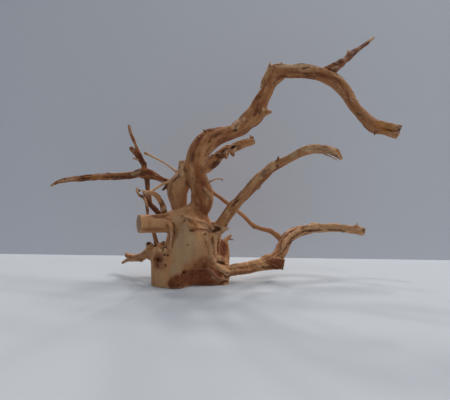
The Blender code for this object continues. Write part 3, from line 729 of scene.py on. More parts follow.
# The left limbs: a long branch and a dozen twigs and rootlets. Some are dark with the bark left on
# them and some are bare and pale: the first two numbers of each are how much bark and how pale.
LEFT_LIMBS = {
    "left_branch": (0.55, 0.1, [
        (-20, 18, 116.4, 9.6), (-30.5, 21, 120.6, 7.8), (-41, 24, 125.4, 7.8), (-51, 27, 131.8, 7.8),
        (-59.5, 30, 134, 8), (-70, 33, 131, 8.2), (-83, 37, 129, 8.6), (-98, 42, 128.5, 9.4),
        (-117, 48, 128, 9), (-138, 54, 127, 7.8), (-161, 60, 126, 7.6), (-177, 64, 124.5, 7),
        (-189, 67, 122, 4.8), (-200, 69, 117, 3),
    ]),
    "fork_web": (1.0, 0.0, [(-74, 33, 130, 5), (-61, 31, 130, 11), (-50, 28, 127.5, 9), (-38, 24, 123, 6)]),
    "red_twig": (1.0, 0.0, [
        (-26.4, 10, 66.6, 6.6), (-37.4, 12, 79.4, 5.8), (-43.6, 14, 86.4, 5.4), (-49.4, 16, 92.8, 5.2),
        (-51.4, 19, 100.5, 5), (-54.4, 23, 111, 5), (-56, 27, 121, 5.2), (-58.8, 30, 131.5, 6),
        (-61, 31, 140.5, 7), (-64.2, 30, 148.5, 6.4), (-66.8, 28, 155, 6.2), (-68.2, 26, 161, 4.6),
        (-71.2, 23, 171, 4), (-74.8, 20, 180.5, 3.6), (-76.4, 18, 189.6, 3.4),
    ]),
    "red_twig_stub": (1.0, 0.0, [(-68, 28, 154.6, 6), (-72, 27, 158.4, 5.6), (-75.4, 26, 162.4, 4.8)]),
    "pale_twig": (0.0, 0.7, [
        (-10.5, 12, 128.8, 3.4), (-16, 13, 131.8, 3), (-26, 17, 139.4, 2.6), (-38.5, 22, 146.9, 2.6),
        (-49.5, 27, 152.6, 2.8), (-56, 30, 156, 3.4), (-59, 31, 157.4, 4.4),
    ]),
    "arched_rootlet": (0.2, 0.5, [
        (-28.2, -2, 77, 6.8), (-29.6, -2, 85, 6), (-30.8, -3, 91, 5.8), (-33, -5, 95.6, 5.6),
        (-35.4, -8, 100.6, 5.4), (-38.2, -12, 103.8, 5), (-42.5, -16, 105.5, 4.2), (-46, -18, 106, 3.4),
        (-50, -20, 107.5, 2.6),
    ]),
    "side_rootlet": (0.2, 0.5, [
        (-19, 12, 120, 4), (-26, 8, 118.5, 3.2), (-32.5, 3, 115.5, 3.2), (-36.5, -3, 112, 3),
        (-39.5, -9, 109, 3), (-43.5, -15, 106.5, 2.8),
    ]),
    "tall_rootlet": (0.1, 0.5, [
        (-35, -4, 38, 7), (-38, -3, 46, 5.4), (-40, -1, 52, 4.6), (-42, 1, 58, 4.2), (-46.6, 4, 69, 3.8),
        (-50.2, 6, 79.6, 3.6), (-51.4, 8, 88.4, 3.6), (-54, 10, 96, 3.6), (-56.4, 12, 100, 4),
        (-61.6, 14, 102.4, 3), (-64.6, 15, 106, 2.6), (-66.8, 16, 109.4, 2.4),
    ]),
    "loop_root": (0.0, 0.9, [
        (-29, -16, 75, 6), (-22.4, -22, 73, 5), (-17.4, -25, 68, 4.4), (-15.8, -27, 61, 4),
        (-16, -27, 53, 4), (-17.4, -25, 44, 5.2),
    ]),
    "low_branch": (0.0, 0.7, [
        (-22, 0, 38, 16), (-38, 4, 37.5, 13), (-52, 14, 31, 11), (-63, 25, 24, 10), (-73.5, 33, 21.5, 9),
        (-81, 38, 21, 6.8),
    ]),
    "low_branch_foot": (0.0, 0.4, [(-34, 4, 26, 14), (-44, 9, 26.6, 10), (-52, 14, 27.5, 8)]),
    "low_branch_upper_tip": (0.0, 0.7, [(-77, 35, 22, 7), (-82.5, 40, 24, 5), (-86.6, 44, 26, 3.6)]),
    "low_branch_lower_tip": (0.2, 0.4, [(-78, 36, 20.5, 7), (-86.5, 42, 17, 4.2), (-93, 46, 13, 3.2)]),
    "knot_stub_outer": (0.2, 0.3, [(-38, -8, 32, 10), (-42.4, -9, 39, 9.2), (-44.6, -10, 44.2, 8.2)]),
    "knot_stub_inner": (0.2, 0.3, [(-28, -12, 35, 9), (-27.4, -12, 41, 7.4), (-27.2, -12, 45.2, 6.8)]),
}
for bark, pale, course in LEFT_LIMBS.values():
    lumps = min(0.3, 1.3 / course[0][3])
    grow(course, flare=3, fluting=0.14, lumps=lumps, bark=bark, pale=pale, splits=2, knots=3)

LEFT_SPRIGS = {
    "bark_flap": (5.4, 2.6, 0, 1.0, [(168.6, 184), (166, 187), (163, 189.6)]),
    "bark_flap_right": (3.4, 2.0, 0, 1.0, [(169.4, 186), (168, 190), (168.4, 194)]),
    "branch_spike_right": (2.2, 1.2, 0, 1.0, [(127, 177.6), (128, 178.8), (128.8, 180)]),
    "branch_spike_left": (2.2, 1.2, 0, 1.0, [(119, 177.4), (119.8, 178.6), (120.2, 179.8)]),
    "twig_short_stub": (3.2, 2.4, 0, 0.9, [(138.6, 159.4), (136, 159), (133.2, 158.3)]),
    "low_tip_bulk": (8.0, 5.0, 2, 0.3, [(131, 257), (128.4, 256.2), (126.4, 255.6)]),
    "crossing_stub": (3.6, 2.6, 0, 0.5, [(147.4, 197.6), (145, 194.6), (143.4, 192.4)]),
    "rootlet_fork": (2.6, 1.6, 0, 0.6, [(139.6, 190.8), (138, 189.4), (136.4, 188.2)]),
}
LEFT_MARKS = {
    "branch_dark_left": (3.4, 0.0, "dark", 1.0, [(77, 179), (85, 178.6), (92, 178)]),
    "branch_dark_right": (3.6, 0.0, "dark", 1.0, [(104, 177.6), (112, 177), (121, 177), (131, 176.6)]),
    "branch_amber": (3.0, 0.0, "amber", 0.9, [(84, 176), (96, 177.6), (103, 177)]),
    "branch_light_left": (3.6, 0.0, "bleach_and_highlight", 0.7, [(58, 181.6), (68, 179.6), (79, 177.8)]),
    "branch_light_middle": (3.6, 0.0, "bleach_and_highlight", 0.6, [(92, 174.6), (98, 174.2), (105, 174)]),
    "branch_smooth": (5.0, 0.0, "bare", 0.9, [(131, 174), (136, 172.8), (140, 171.8)]),
    "branch_hole": (1.6, -1.4, "dark", 1.0, [(65, 179.4)]),
    "branch_tip": (3.0, 0.0, "bare", 0.9, [(51, 186), (55, 184.4)]),
    "web_dark": (8.0, 0.0, "dark", 0.9, [(146, 167.6), (153, 170), (160, 174), (167, 179)]),
    "web_rust": (5.0, 0.0, "rust_and_shade", 0.9, [(146, 170), (152, 173), (159, 178)]),
    "web_green": (2.4, 0.0, "bleach_and_highlight", 0.8, [(155, 174.4), (158, 176)]),
    "web_broken": (3.0, -1.2, "dark", 1.0, [(162, 179), (166, 180.6)]),
    "twig_dark": (4.4, 0.0, "dark", 0.8, [(138, 152), (142, 160), (146, 167)]),
    "twig_knob": (4.0, 1.0, "dark", 0.7, [(146.4, 163)]),
    "low_knot": (3.6, 0.8, "dark", 0.9, [(139.6, 260.6), (142, 261)]),
    "low_cut": (3.6, 0.0, "bleach_and_highlight", 0.9, [(128.6, 254.6)]),
    "low_groove": (1.8, -0.6, "rust_and_shade", 0.4, [(133, 257.4), (140, 254.6), (147, 252.6)]),
    "low_red": (4.4, 0.0, "rust_and_shade", 0.6, [(137, 259.6), (145, 259)]),
    "rootlet_knob": (4.4, 0.8, "bleach_and_highlight", 0.9, [(163.6, 211), (164.4, 207)]),
}
RIGHT_SPRIGS = {
    "branch_spike": (2.6, 1.2, 0, 0.8, [(278, 160.6), (278.2, 158.4), (278.3, 156.4)]),
    "tip_splinter": (3.4, 1.6, -1, 0.3, [(318, 150.4), (325, 153.4), (331, 156.4), (337, 160)]),
    "tip_finger": (4.4, 1.8, 1, 0.3, [(327, 149.6), (333, 152.4), (338, 156), (341, 159)]),
    "arm_spike": (2.2, 1.2, 0, 0.8, [(357, 226.4), (357.2, 224), (357, 222.4)]),
}
RIGHT_MARKS = {
    "branch_notch": (1.8, -1.2, "rust_and_shade", 0.8, [(275.6, 164), (277, 166), (278, 168)]),
    "branch_knob": (6.0, 1.4, "bleach_and_highlight", 0.8, [(270, 165.8), (273, 164)]),
    "branch_crack": (1.4, -0.9, "rust_and_shade", 0.8, [(231.6, 206.4), (235, 203), (238.6, 199.6)]),
    "branch_bump": (4.6, 1.2, "bleach_and_highlight", 0.5, [(256.6, 188.4), (259.6, 186)]),
    "branch_patch": (6.0, 0.0, "bare", 0.9, [(291, 156), (297, 152)]),
    "branch_ridge": (4.0, 0.6, "bleach_and_highlight", 0.5, [(240, 196), (248, 185.6), (257, 176.4), (266, 169)]),
    "branch_rust": (4.6, 0.0, "rust_and_shade", 0.7, [(246, 200), (258, 186), (268, 175), (282, 166)]),
    "tip_groove_high": (2.4, -1.4, "rust_and_shade", 0.7, [(309, 149), (318, 148.4), (328, 150.4)]),
    "tip_groove_low": (2.0, -1.3, "rust_and_shade", 0.7, [(314, 152.6), (322, 152.8), (330, 155.6)]),
    "tip_pale": (8.0, 0.0, "bleach_and_highlight", 0.5, [(300, 149), (318, 149.6), (336, 154)]),
    "tip_rust": (3.0, 0.0, "rust_and_shade", 0.5, [(312, 151), (324, 151.6), (333, 155)]),
    # Painted highlight: a pale line along the top edge of the tip, on a slight raise.
    "tip_top_painted_highlight": (2.4, 0.6, "bleach_and_highlight", 0.7, [(308, 147), (318, 146), (328, 147.6), (335, 151)]),
    "spiral_groove": (2.2, -1.5, "dark", 0.7, [(283, 253), (287, 245), (292, 238.6), (299, 233.4),
                                               (307, 230.6)]),
    "spiral_ridge": (3.0, 0.7, "bleach_and_highlight", 0.6, [(281, 250), (285, 241), (291, 234.4), (299, 229.4)]),
    "spiral_groove_high": (1.6, -1.0, "rust_and_shade", 0.8, [(279, 247), (284, 238), (290, 232), (299, 227.6)]),
    "arm_notch": (2.6, -1.6, "dark", 0.9, [(291.8, 241), (294, 241.4)]),
    "arm_groove_left": (2.4, -1.7, "dark", 0.9, [(306, 231), (313, 230.4), (321, 229.8)]),
    "arm_groove_right": (2.2, -1.6, "dark", 0.8, [(328, 229.8), (337, 230.2), (345, 231)]),
    "arm_pale": (9.0, 0.0, "bleach_and_highlight", 0.4, [(306, 229), (330, 228.4), (352, 229), (362, 230)]),
    # Painted highlight: a pale line along the top of the arm, on a slight raise.
    "arm_top_painted_highlight": (3.4, 0.3, "bleach_and_highlight", 0.6, [(306, 225.6), (320, 224.4), (335, 224.6), (348, 225.6)]),
    "arm_bump": (4.6, 1.0, "bleach_and_highlight", 0.6, [(311, 224), (314, 223.4)]),
    "arm_knob": (6.0, 0.8, "rust_and_shade", 0.6, [(354.5, 226), (356.5, 226.4)]),
    "arm_end_dark": (4.0, -1.0, "dark", 0.9, [(363, 230), (365, 231)]),
    "elbow_hollow": (5.0, -1.7, "rust_and_shade", 0.6, [(262, 267.4), (270, 267.4), (280, 268)]),
    "elbow_red": (9.0, 0.0, "rust_and_shade", 0.8, [(268, 262), (277, 262), (284, 265)]),
    "elbow_groove": (2.2, -0.8, "rust_and_shade", 0.5, [(262, 260), (270, 257), (278, 251)]),
    # Painted highlight: a pale line along the top of the root, on a slight raise.
    "root_top_painted_highlight": (4.6, 0.4, "bleach_and_highlight", 0.5, [(232, 265), (245, 263.4), (257, 260.6), (268, 254.6)]),
    "root_rust": (5.0, 0.0, "rust_and_shade", 0.7, [(232, 274), (244, 272.6), (256, 270.6)]),
    "root_groove": (2.0, -0.7, "rust_and_shade", 0.4, [(231, 269), (243, 268), (256, 265)]),
    "thin_bump": (3.6, 0.9, "dark", 0.5, [(253.6, 228), (255, 227.4)]),
}
RIGHT_TORN = {
    "elbow_block": (8.0, 1.3, 2.4, [(262, 263), (274, 261), (285, 266)]),
    "branch_foot": (7.0, 0.7, 2.4, [(226, 215), (234, 205), (242, 196)]),
    "branch_middle": (6.0, 0.7, 2.2, [(262, 178), (272, 167), (284, 162)]),
    "branch_tip": (6.0, 1.1, 1.8, [(306, 150), (322, 151), (337, 156)]),
    "arm_end": (6.0, 1.2, 2.0, [(354, 227), (360, 229), (365, 231)]),
    "arm": (6.0, 0.35, 2.0, [(308, 228), (328, 228), (348, 228)]),
    "spiral": (8.0, 0.9, 2.2, [(283, 252), (291, 239), (304, 229)]),
    "root": (8.0, 0.6, 2.6, [(230, 270), (244, 269), (258, 265)]),
}
sprout(LEFT_SPRIGS)
sprout(RIGHT_SPRIGS)
weather(RIGHT_TORN)
work(LEFT_MARKS)
work(RIGHT_MARKS)

# The crown's face is scraped smooth and pale. Around it the wood is torn: a fold under the stems, a
# ragged hole, a plate of bark with its horn, and the snapped roots over the hollow on the left.
CROWN_SPRIGS = {
    "hole_spike_low": (3.2, 1.6, -2, 0.8, [(216, 229.4), (222, 229.4), (228.9, 227.8)]),
    "hole_spike_high": (3.6, 1.8, 1, 0.5, [(217, 228), (222, 226), (226.8, 225)]),
    "hole_spike_left": (2.6, 1.4, -2, 0.8, [(219, 231), (215, 229.6), (212, 227.6)]),
    "hole_spike_cross": (3.2, 1.6, -2, 0.5, [(215, 228), (220, 230), (224.6, 231.4)]),
    "hole_spike_middle": (3.4, 2.0, -1, 0.5, [(217, 229), (222, 227.6), (227.4, 230)]),
    "plate_splinter": (1.8, 1.2, 2, 1.0, [(229, 238), (231, 239.4), (233.3, 239.6)]),
    "toe_splinter": (3.0, 1.6, 0, 0.6, [(222, 281), (226, 280), (229.4, 278.4)]),
    "toe_splinter_high": (2.6, 1.4, 0, 0.6, [(224, 275), (228, 274.6), (231, 275.6)]),
}
CROWN_TORN = {
    "fold": (9.0, 1.0, 2.2, [(184, 218), (192, 223), (203, 226), (212, 229)]),
    "cords": (8.0, 0.8, 2.4, [(204, 235), (209, 248), (214, 263)]),
    "neck": (7.0, 0.9, 2.2, [(214, 226), (218, 234), (216, 244)]),
    "plate": (9.0, 1.0, 2.4, [(223, 241), (223, 250), (221, 260)]),
    "toe": (10.0, 1.0, 2.6, [(206, 268), (214, 273), (226, 278)]),
    "knots": (7.0, 1.0, 2.2, [(150, 246), (158, 247), (166, 250)]),
    "hollow": (8.0, 1.3, 2.0, [(157, 257), (158, 266)]),
    "stem_foot": (9.0, 0.6, 2.6, [(194, 208), (203, 214), (212, 222)]),
    "foot_face": (11.0, 0.5, 2.2, [(194, 274), (204, 270), (214, 268)]),
    "lip": (8.0, 0.4, 2.4, [(170, 284), (176, 280), (182, 277)]),
    "left_column": (9.0, 0.3, 2.6, [(156, 270), (158, 277), (160, 284)]),
    "stub_skin": (9.0, 0.25, 2.6, [(142, 222), (152, 222), (163, 222)]),
}
CROWN_MARKS = {
    "pale_face": (23.0, 0.0, "bare", 0.9, [(184.6, 228), (184.8, 240), (184, 252), (181, 261)]),
    "pale_face_low": (12.0, 0.0, "bare", 0.9, [(178, 265), (175, 270), (172, 273)]),
    "pale_face_right": (18.0, 0.0, "bare", 0.5, [(194, 238), (196, 247), (194, 256)]),
    "pale_face_high": (9.0, 0.0, "bare", 0.8, [(176, 217), (178, 223)]),
    "foot_lip": (12.0, 0.0, "rust_and_shade", 1.0, [(170, 284), (175, 282), (182, 279.6)]),
    "foot_lip_low": (7.0, 0.0, "dark", 0.7, [(171, 287.4), (178, 287.6), (186, 285.4)]),
    "foot_edge": (6.0, 0.0, "dark", 0.7, [(190, 284.6), (200, 284.6), (212, 284.4), (222, 283)]),
    "foot_join": (13.0, 0.0, "rust_and_shade", 1.0, [(185, 281.6), (190, 278), (194, 271)]),
    "foot_flank": (10.0, 0.0, "rust_and_shade", 1.0, [(182.4, 286), (183.6, 282), (184.6, 277), (186, 271)]),
    "foot_right": (22.0, 0.0, "rust_and_shade", 1.0, [(194, 277), (205, 275), (217, 276)]),
    "foot_right_high": (14.0, 0.0, "rust_and_shade", 0.7, [(196, 266), (204, 264), (212, 266)]),
    # The red-brown in the hollow is partly a stain and partly painted shade inside it.
    "hollow_red_and_shade": (15.0, 0.0, "rust_and_shade", 0.8, [(155.5, 259.4), (159.6, 260.4), (163, 260)]),
    "hollow_low_red_and_shade": (9.0, 0.0, "rust_and_shade", 0.5, [(155, 266), (160, 267.4), (165, 265)]),
    "plate_red": (13.0, 0.0, "rust_and_shade", 1.0, [(222, 242), (223, 250), (221, 258)]),
    "stem_foot_red": (14.0, 0.0, "rust_and_shade", 0.7, [(197, 205), (202, 212), (207, 219)]),
    "neck_red": (10.0, 0.0, "rust_and_shade", 0.7, [(206, 222), (212, 225)]),
    "left_column": (14.0, 0.0, "bleach_and_highlight", 0.3, [(157, 272), (159, 279), (161, 285)]),
    "stem_foot_ridge": (8.0, 0.8, "bleach_and_highlight", 0.7, [(176, 212.6), (181, 210.6), (185.6, 208.8), (189, 207.8)]),
    "fold_high": (6.0, 0.7, "bleach_and_highlight", 0.4, [(181, 214.6), (188, 218.4), (197, 221.4), (206, 224.6),
                                           (212, 227.6)]),
    "fold_low": (5.0, 0.6, "bleach_and_highlight", 0.3, [(186, 222.6), (195, 225.4), (204, 229), (211, 231)]),
    "knot": (8.0, 1.3, "amber", 0.5, [(189, 225.6), (193, 227.2), (197, 228.6)]),
    "knot_red": (4.0, 0.0, "rust_and_shade", 0.7, [(191, 229), (195, 229.8), (199, 229.4)]),
    # The raised cord, with a painted highlight along it.
    "cord_painted_highlight": (5.0, 0.9, "bleach_and_highlight", 0.8, [(203, 234), (207.6, 239), (209.6, 246), (211, 254), (215, 263)]),
    "cord_right": (4.4, 0.8, "bleach_and_highlight", 0.4, [(215, 236), (214.4, 246), (215.4, 256)]),
    "lobe": (6.0, 1.2, "bleach_and_highlight", 0.5, [(217, 257), (221.6, 258.6), (225.6, 260.6)]),
    "toe_cord_left": (4.0, 0.9, "bleach_and_highlight", 0.6, [(206.6, 268.6), (211, 272), (215, 275.6)]),
    "toe_cord_right": (3.6, 0.9, "bleach_and_highlight", 0.9, [(217, 265), (222, 269), (229, 272.6)]),
    "toe_cord_low": (3.6, 0.7, "bleach_and_highlight", 0.5, [(212, 276.4), (218, 278.6), (224, 279.6)]),
    "pale_rim": (4.0, 0.9, "bleach_and_highlight", 0.7, [(153.6, 249.8), (156.6, 249.2), (160, 250)]),
    "ring_centre": (3.4, 0.9, "bleach_and_highlight", 0.9, [(165.4, 249.9)]),
    "stub_pale": (15.0, 0.0, "bleach_and_highlight", 0.12, [(144, 222), (154, 221), (166, 221)]),
    "stub_streak": (5.0, 0.0, "rust_and_shade", 0.9, [(150, 216), (158, 216), (168, 215.4)]),
    "stub_groove": (1.8, -0.6, "rust_and_shade", 0.6, [(147, 216.4), (156, 216.8), (165, 218), (171, 219.6)]),
    "stub_band": (4.0, 0.0, "rust_and_shade", 0.4, [(149, 220), (150, 226), (151, 231)]),
    "stub_shade": (6.0, 0.0, "rust_and_shade", 0.55, [(142, 229), (152, 229.6), (164, 229)]),
    "stub_rim": (2.4, 0.0, "amber", 0.7, [(138.6, 215), (140, 221), (139.6, 228), (138.4, 232)]),
    "stub_spot": (1.6, 0.0, "dark", 0.8, [(140.6, 223)]),
    "hole": (3.6, -5.0, "dark", 1.0, [(213.6, 231.6), (216.4, 229.8), (219.6, 228.8)]),
    "small_hole": (2.0, -1.8, "dark", 0.8, [(203.6, 234.6), (206, 234.2)]),
    "fold_groove_high": (2.2, -1.0, "rust_and_shade", 0.7, [(183, 217), (189, 220.6), (196.3, 226)]),
    "fold_groove_middle": (2.0, -0.8, "rust_and_shade", 0.6, [(189, 220.6), (196, 222.4), (203, 223), (209.6, 226)]),
    "fold_groove_right": (2.2, -1.2, "rust_and_shade", 0.9, [(200, 229.4), (206, 230), (212, 232)]),
    "knot_crevice": (1.4, -1.2, "rust_and_shade", 1.0, [(189.6, 230.4), (193.4, 230.8)]),
    "pit_left": (1.3, -1.4, "dark", 0.9, [(181.8, 216)]),
    "pit_right": (1.3, -1.4, "dark", 0.9, [(184.4, 220.7)]),
    "pinhole": (1.2, -1.4, "dark", 1.0, [(187.5, 245)]),
    "foot_hole": (1.9, -2.2, "dark", 1.0, [(183.4, 272.5), (184.6, 272.3)]),
    "specks_high": (1.3, -1.0, "dark", 0.8, [(208.2, 252.2)]),
    "specks_middle": (1.3, -1.0, "dark", 0.8, [(211.4, 254.8)]),
    "specks_low": (1.3, -1.0, "dark", 0.8, [(212.4, 257.6)]),
    "strand_groove": (1.8, -0.7, "rust_and_shade", 0.6, [(212.4, 236), (212, 244), (212.8, 253)]),
    "plate_groove": (2.2, -0.9, "rust_and_shade", 0.8, [(218.4, 241), (217.6, 249), (217.6, 256)]),
    "plate_pits": (1.7, -1.4, "dark", 0.8, [(223.6, 248.6), (224.2, 250.6)]),
    "plate_pit_low": (1.5, -1.2, "dark", 0.8, [(224.6, 253.2)]),
    "crevice": (3.0, -2.6, "rust_and_shade", 1.0, [(217.4, 262), (222, 263.2), (227, 264.6)]),
    "crevice_dark": (1.4, -1.6, "dark", 0.8, [(219, 263), (223, 263.8)]),
    "toe_groove_left": (1.8, -1.0, "rust_and_shade", 0.7, [(210, 273.6), (214, 277.4), (218, 281)]),
    "toe_groove_right": (1.8, -1.2, "rust_and_shade", 0.8, [(215, 269), (220, 273), (226, 276.4)]),
    "toe_undercut": (2.6, -2.0, "rust_and_shade", 1.0, [(219, 284.4), (224, 281.8), (229, 280.2)]),
    "hollow_top": (5.4, -2.6, "rust_and_shade", 0.9, [(154.6, 259), (158, 259.8), (161.6, 260.2)]),
    "hollow_dark_left": (1.7, -1.4, "dark", 0.9, [(157.2, 259.2), (158.2, 260.8)]),
    "hollow_dark_low": (1.7, -1.2, "dark", 0.7, [(156.8, 264), (157.6, 266), (159.2, 267)]),
    "hollow_dark_right": (1.7, -1.2, "dark", 0.8, [(165.2, 264.6), (165.9, 266.4)]),
    "outer_hollow": (2.4, -2.6, "dark", 1.0, [(148.4, 243.4)]),
    "stub_gap": (2.2, -3.2, "dark", 1.0, [(154.6, 243.4), (155.2, 246.8)]),
    "inner_pit": (1.8, -2.2, "dark", 1.0, [(163.6, 244.4)]),
    "ring": (1.2, -1.2, "dark", 0.8, [(163.4, 251.4), (162.8, 249.4), (163.8, 247.4), (165.8, 247),
                                      (167.2, 248.6)]),
    "hole_left": (1.8, -2.2, "dark", 1.0, [(164.5, 254.8)]),
    "hole_right": (1.5, -2.0, "dark", 1.0, [(167.5, 255.3)]),
    "rod_groove": (1.3, -1.2, "rust_and_shade", 0.9, [(173.4, 223), (173.4, 230), (173.2, 240), (172.4, 247)]),
    # Painted shadow: a red-brown streak down the gap between the rod and the face.
    "rod_shade": (1.6, 0.0, "rust_and_shade", 0.8, [(171.6, 224), (171.8, 234), (171.6, 246)]),
}
GAPS = {
    "horn_window": (4.0, -14, 30, [(222.2, 237.4), (224.2, 234.8), (226.2, 233.4)]),
}
sprout(CROWN_SPRIGS)
weather(CROWN_TORN)
work(CROWN_MARKS)
drill(GAPS)

# The saw cuts: the root was sawn flat underneath, so that it stands, and its stub was sawn off square.
# Both cuts are plane.
STUB_REACH = 22

height = LOW[2] + GRID * np.arange(SHAPE[2])
wood = np.maximum(wood, -height[None, None, :].astype(np.float32))
stub_part, first, last = box_around(np.array([STUB_END]), STUB_REACH)
beyond_saw = sum(
    ((np.arange(first[k], last[k]) * GRID + LOW[k] - STUB_END[k]) * STUB_AXIS[k]).reshape(
        [-1 if i == k else 1 for i in range(3)])
    for k in range(3)
)
wood[stub_part] = np.maximum(wood[stub_part], beyond_saw.astype(np.float32))

# The skin of the worked wood becomes one mesh, which is thinned where it is smooth. A crumb beside the
# back branch and seven specks are loose in the grid already. They stay, and the thinning flattens the specks.
FACES_KEPT = 190_000
FLAT_FOOT = 0.6 * GRID

grid = openvdb.FloatGrid(FAR)
grid.copyFromArray(wood)
corners, quads = grid.convertToQuads(isovalue=0.0)
corners = LOW + corners * GRID
corners[corners[:, 2] < FLAT_FOOT, 2] = 0.0
skin = bpy.data.meshes.new("worked_skin")
skin.from_pydata((corners * MM).tolist(), [], quads.tolist())
root = bpy.data.objects.new("moor_wood", skin)
bpy.context.scene.collection.objects.link(root)
thin = root.modifiers.new("thin_out", "DECIMATE")
thin.ratio = min(1, FACES_KEPT / (2 * len(quads)))
finished = bpy.data.meshes.new_from_object(root.evaluated_get(bpy.context.evaluated_depsgraph_get()))
root.modifiers.clear()
root.data = finished
bpy.data.meshes.remove(skin)
finished.shade_smooth()

# What each point of the skin is: where it lies in its limb's grain, how deep it is in a furrow or a
# nook, which sets the painted shade there, how far it stands out, how pale it is, whether it was
# sawn, and how much bark or stain it carries.
FURROW, NOOK = 1.8, 5.0
FURROW_GAIN, NOOK_GAIN, CREST_GAIN = 1.1, 0.9, 2.0
PALE_ROUNDS = 10
GRAIN_SHIFT = 31.3
FLOOR_NEAR = 0.2
CUT_NEAR = 0.5
STUB_RIGHT_END = -40
SQUARE_ON = 0.9

count = len(finished.vertices)


def read_all(source, name, kind, width):
    """One value or vector for each item of a mesh's collection."""
    values = np.empty(len(source) * width, kind)
    source.foreach_get(name, values)
    return values.reshape(-1, width)


points = read_all(finished.vertices, "co", np.float32, 3) / MM
normals = read_all(finished.vertex_normals, "vector", np.float32, 3)
edges = read_all(finished.edges, "vertices", np.int32, 2)
meeting = np.bincount(edges.ravel(), minlength=count)


def spread(values, times):
    """Average each point's value with its neighbours' values, a number of times over."""
    for _ in range(times):
        total = np.bincount(edges[:, 0], values[edges[:, 1]], count)
        total += np.bincount(edges[:, 1], values[edges[:, 0]], count)
        values = 0.5 * values + 0.5 * total / np.maximum(meeting, 1)
    return values


nearest = np.clip(np.round((points - LOW) / GRID).astype(int), 0, SHAPE - 1)
limb_of = owner[nearest[:, 0], nearest[:, 1], nearest[:, 2]]
grain = np.zeros((count, 3))
for number, limb in enumerate(limbs):
    chosen = np.flatnonzero(limb_of == number)
    if len(chosen) == 0:
        continue
    if limb["upright"]:
        grain[chosen] = points[chosen][:, [1, 0, 2]] * (-1, 1, 1)
        continue
    steps, so_far = lengths(limb["path"])
    best = np.full(len(chosen), np.inf)
    for i, step in enumerate(steps):
        start = limb["path"][i, :3]
        way = (limb["path"][i + 1, :3] - start) / step
        away = points[chosen] - start
        run = np.clip(away @ way, 0, step)
        away = away - run[:, None] * way
        off = np.linalg.norm(away, axis=1)
        t = run / step
        u = (away @ limb["side"][i]) * (1 - t) + (away @ limb["side"][i + 1]) * t
        v = (away @ limb["third"][i]) * (1 - t) + (away @ limb["third"][i + 1]) * t
        turn = TWIST * (so_far[i] + run)
        place = np.stack([u * np.cos(turn) - v * np.sin(turn), u * np.sin(turn) + v * np.cos(turn),
                          so_far[i] + run + number * GRAIN_SHIFT], axis=1)
        nearer = off < best
        best[nearer] = off[nearer]
        grain[chosen[nearer]] = place[nearer]

# How shut in each point is by the wood around it. The colour turns this into painted shade.
furrow_depth = 1 - np.clip(read_at(wood, points + normals * FURROW) / FURROW, 0, 1)
nook_depth = 1 - np.clip(read_at(wood, points + normals * NOOK) / NOOK, 0, 1)
crest = 1 - np.clip(-read_at(wood, points - normals * FURROW) / FURROW, 0, 1)
near_cut = ((points - STUB_END) @ np.array(STUB_AXIS) > -CUT_NEAR) & (points[:, 0] < STUB_RIGHT_END)
on_stub_end = near_cut & (normals @ np.array(STUB_AXIS) > SQUARE_ON)
layers = {
    "hollow": np.clip(spread(furrow_depth, 1) * FURROW_GAIN + spread(nook_depth, 3) * NOOK_GAIN, 0, 1),
    "crest": np.clip(spread(crest, 1) * CREST_GAIN, 0, 1),
    "pale": spread(np.array([limb["pale"] for limb in limbs])[limb_of], PALE_ROUNDS),
    "sawn": (on_stub_end | (points[:, 2] < FLOOR_NEAR)).astype(float),
    **{name: read_at(stain, points) / 255 for name, stain in stains.items()},
}
for name, values in layers.items():
    layer = finished.attributes.new(name, "FLOAT", "POINT")
    layer.data.foreach_set("value", values.astype(np.float32))
layer = finished.attributes.new("grain", "FLOAT_VECTOR", "POINT")
layer.data.foreach_set("vector", grain.astype(np.float32).ravel())

# Debarked root wood: dense, dry and almost dull. It is tan where it was scraped and bleached, warm
# brown along the grain, dark red-brown where bark or stain is left, and darkened in the furrows with
# painted shade.
TAN = "#C08C5E"
WARM_BROWN = "#935A31"
RUST_AND_SHADE = "#6E2F13"
BLEACHED_AND_HIGHLIGHT = "#D6B189"
AMBER = "#B4742E"
BARK = "#50240B"
SHADE = "#5A2A0F"
SCRAPED = "#B29572"
END_GRAIN = "#A58A6D"
FIBRE_MM = 1.5
BAND_MM = 6.0
BLOTCH_MM = 15.0
SPECK_MM = 2.4
RING_MM = 1.7
GRAIN_STRETCH = 9.0
RING_WANDER = 6.0
RELIEF_MM = 0.5
RELIEF_STRENGTH = 0.6
DRY_SHINE = 0.25
BARK_LEAST, STAIN_LEAST, SPECK_SHARE = 0.25, 0.4, 0.9
# The red-brown and pale stains also serve as painted shade and painted highlights, where marks put them.
STAIN_COLOURS = {"bare": SCRAPED, "rust_and_shade": RUST_AND_SHADE, "amber": AMBER, "bleach_and_highlight": BLEACHED_AND_HIGHLIGHT, "dark": BARK}

wood_look = bpy.data.materials.new("debarked_root_wood")
wood_look.use_nodes = True
tree = wood_look.node_tree
shader = tree.nodes["Principled BSDF"]


def add_node(kind, settings, inputs):
    """Add a node with its settings, and link or set its inputs. It returns the node's main output."""
    node = tree.nodes.new(kind)
    for name, value in settings.items():
        setattr(node, name, value)
    for name, value in inputs.items():
        if isinstance(value, bpy.types.NodeSocket):
            tree.links.new(value, node.inputs[name])
        else:
            node.inputs[name].default_value = value
    wanted = {"ShaderNodeMix": 2, "ShaderNodeAttribute": "Fac", "ShaderNodeTexCoord": "Object"}
    return node.outputs[wanted.get(kind, 0)]


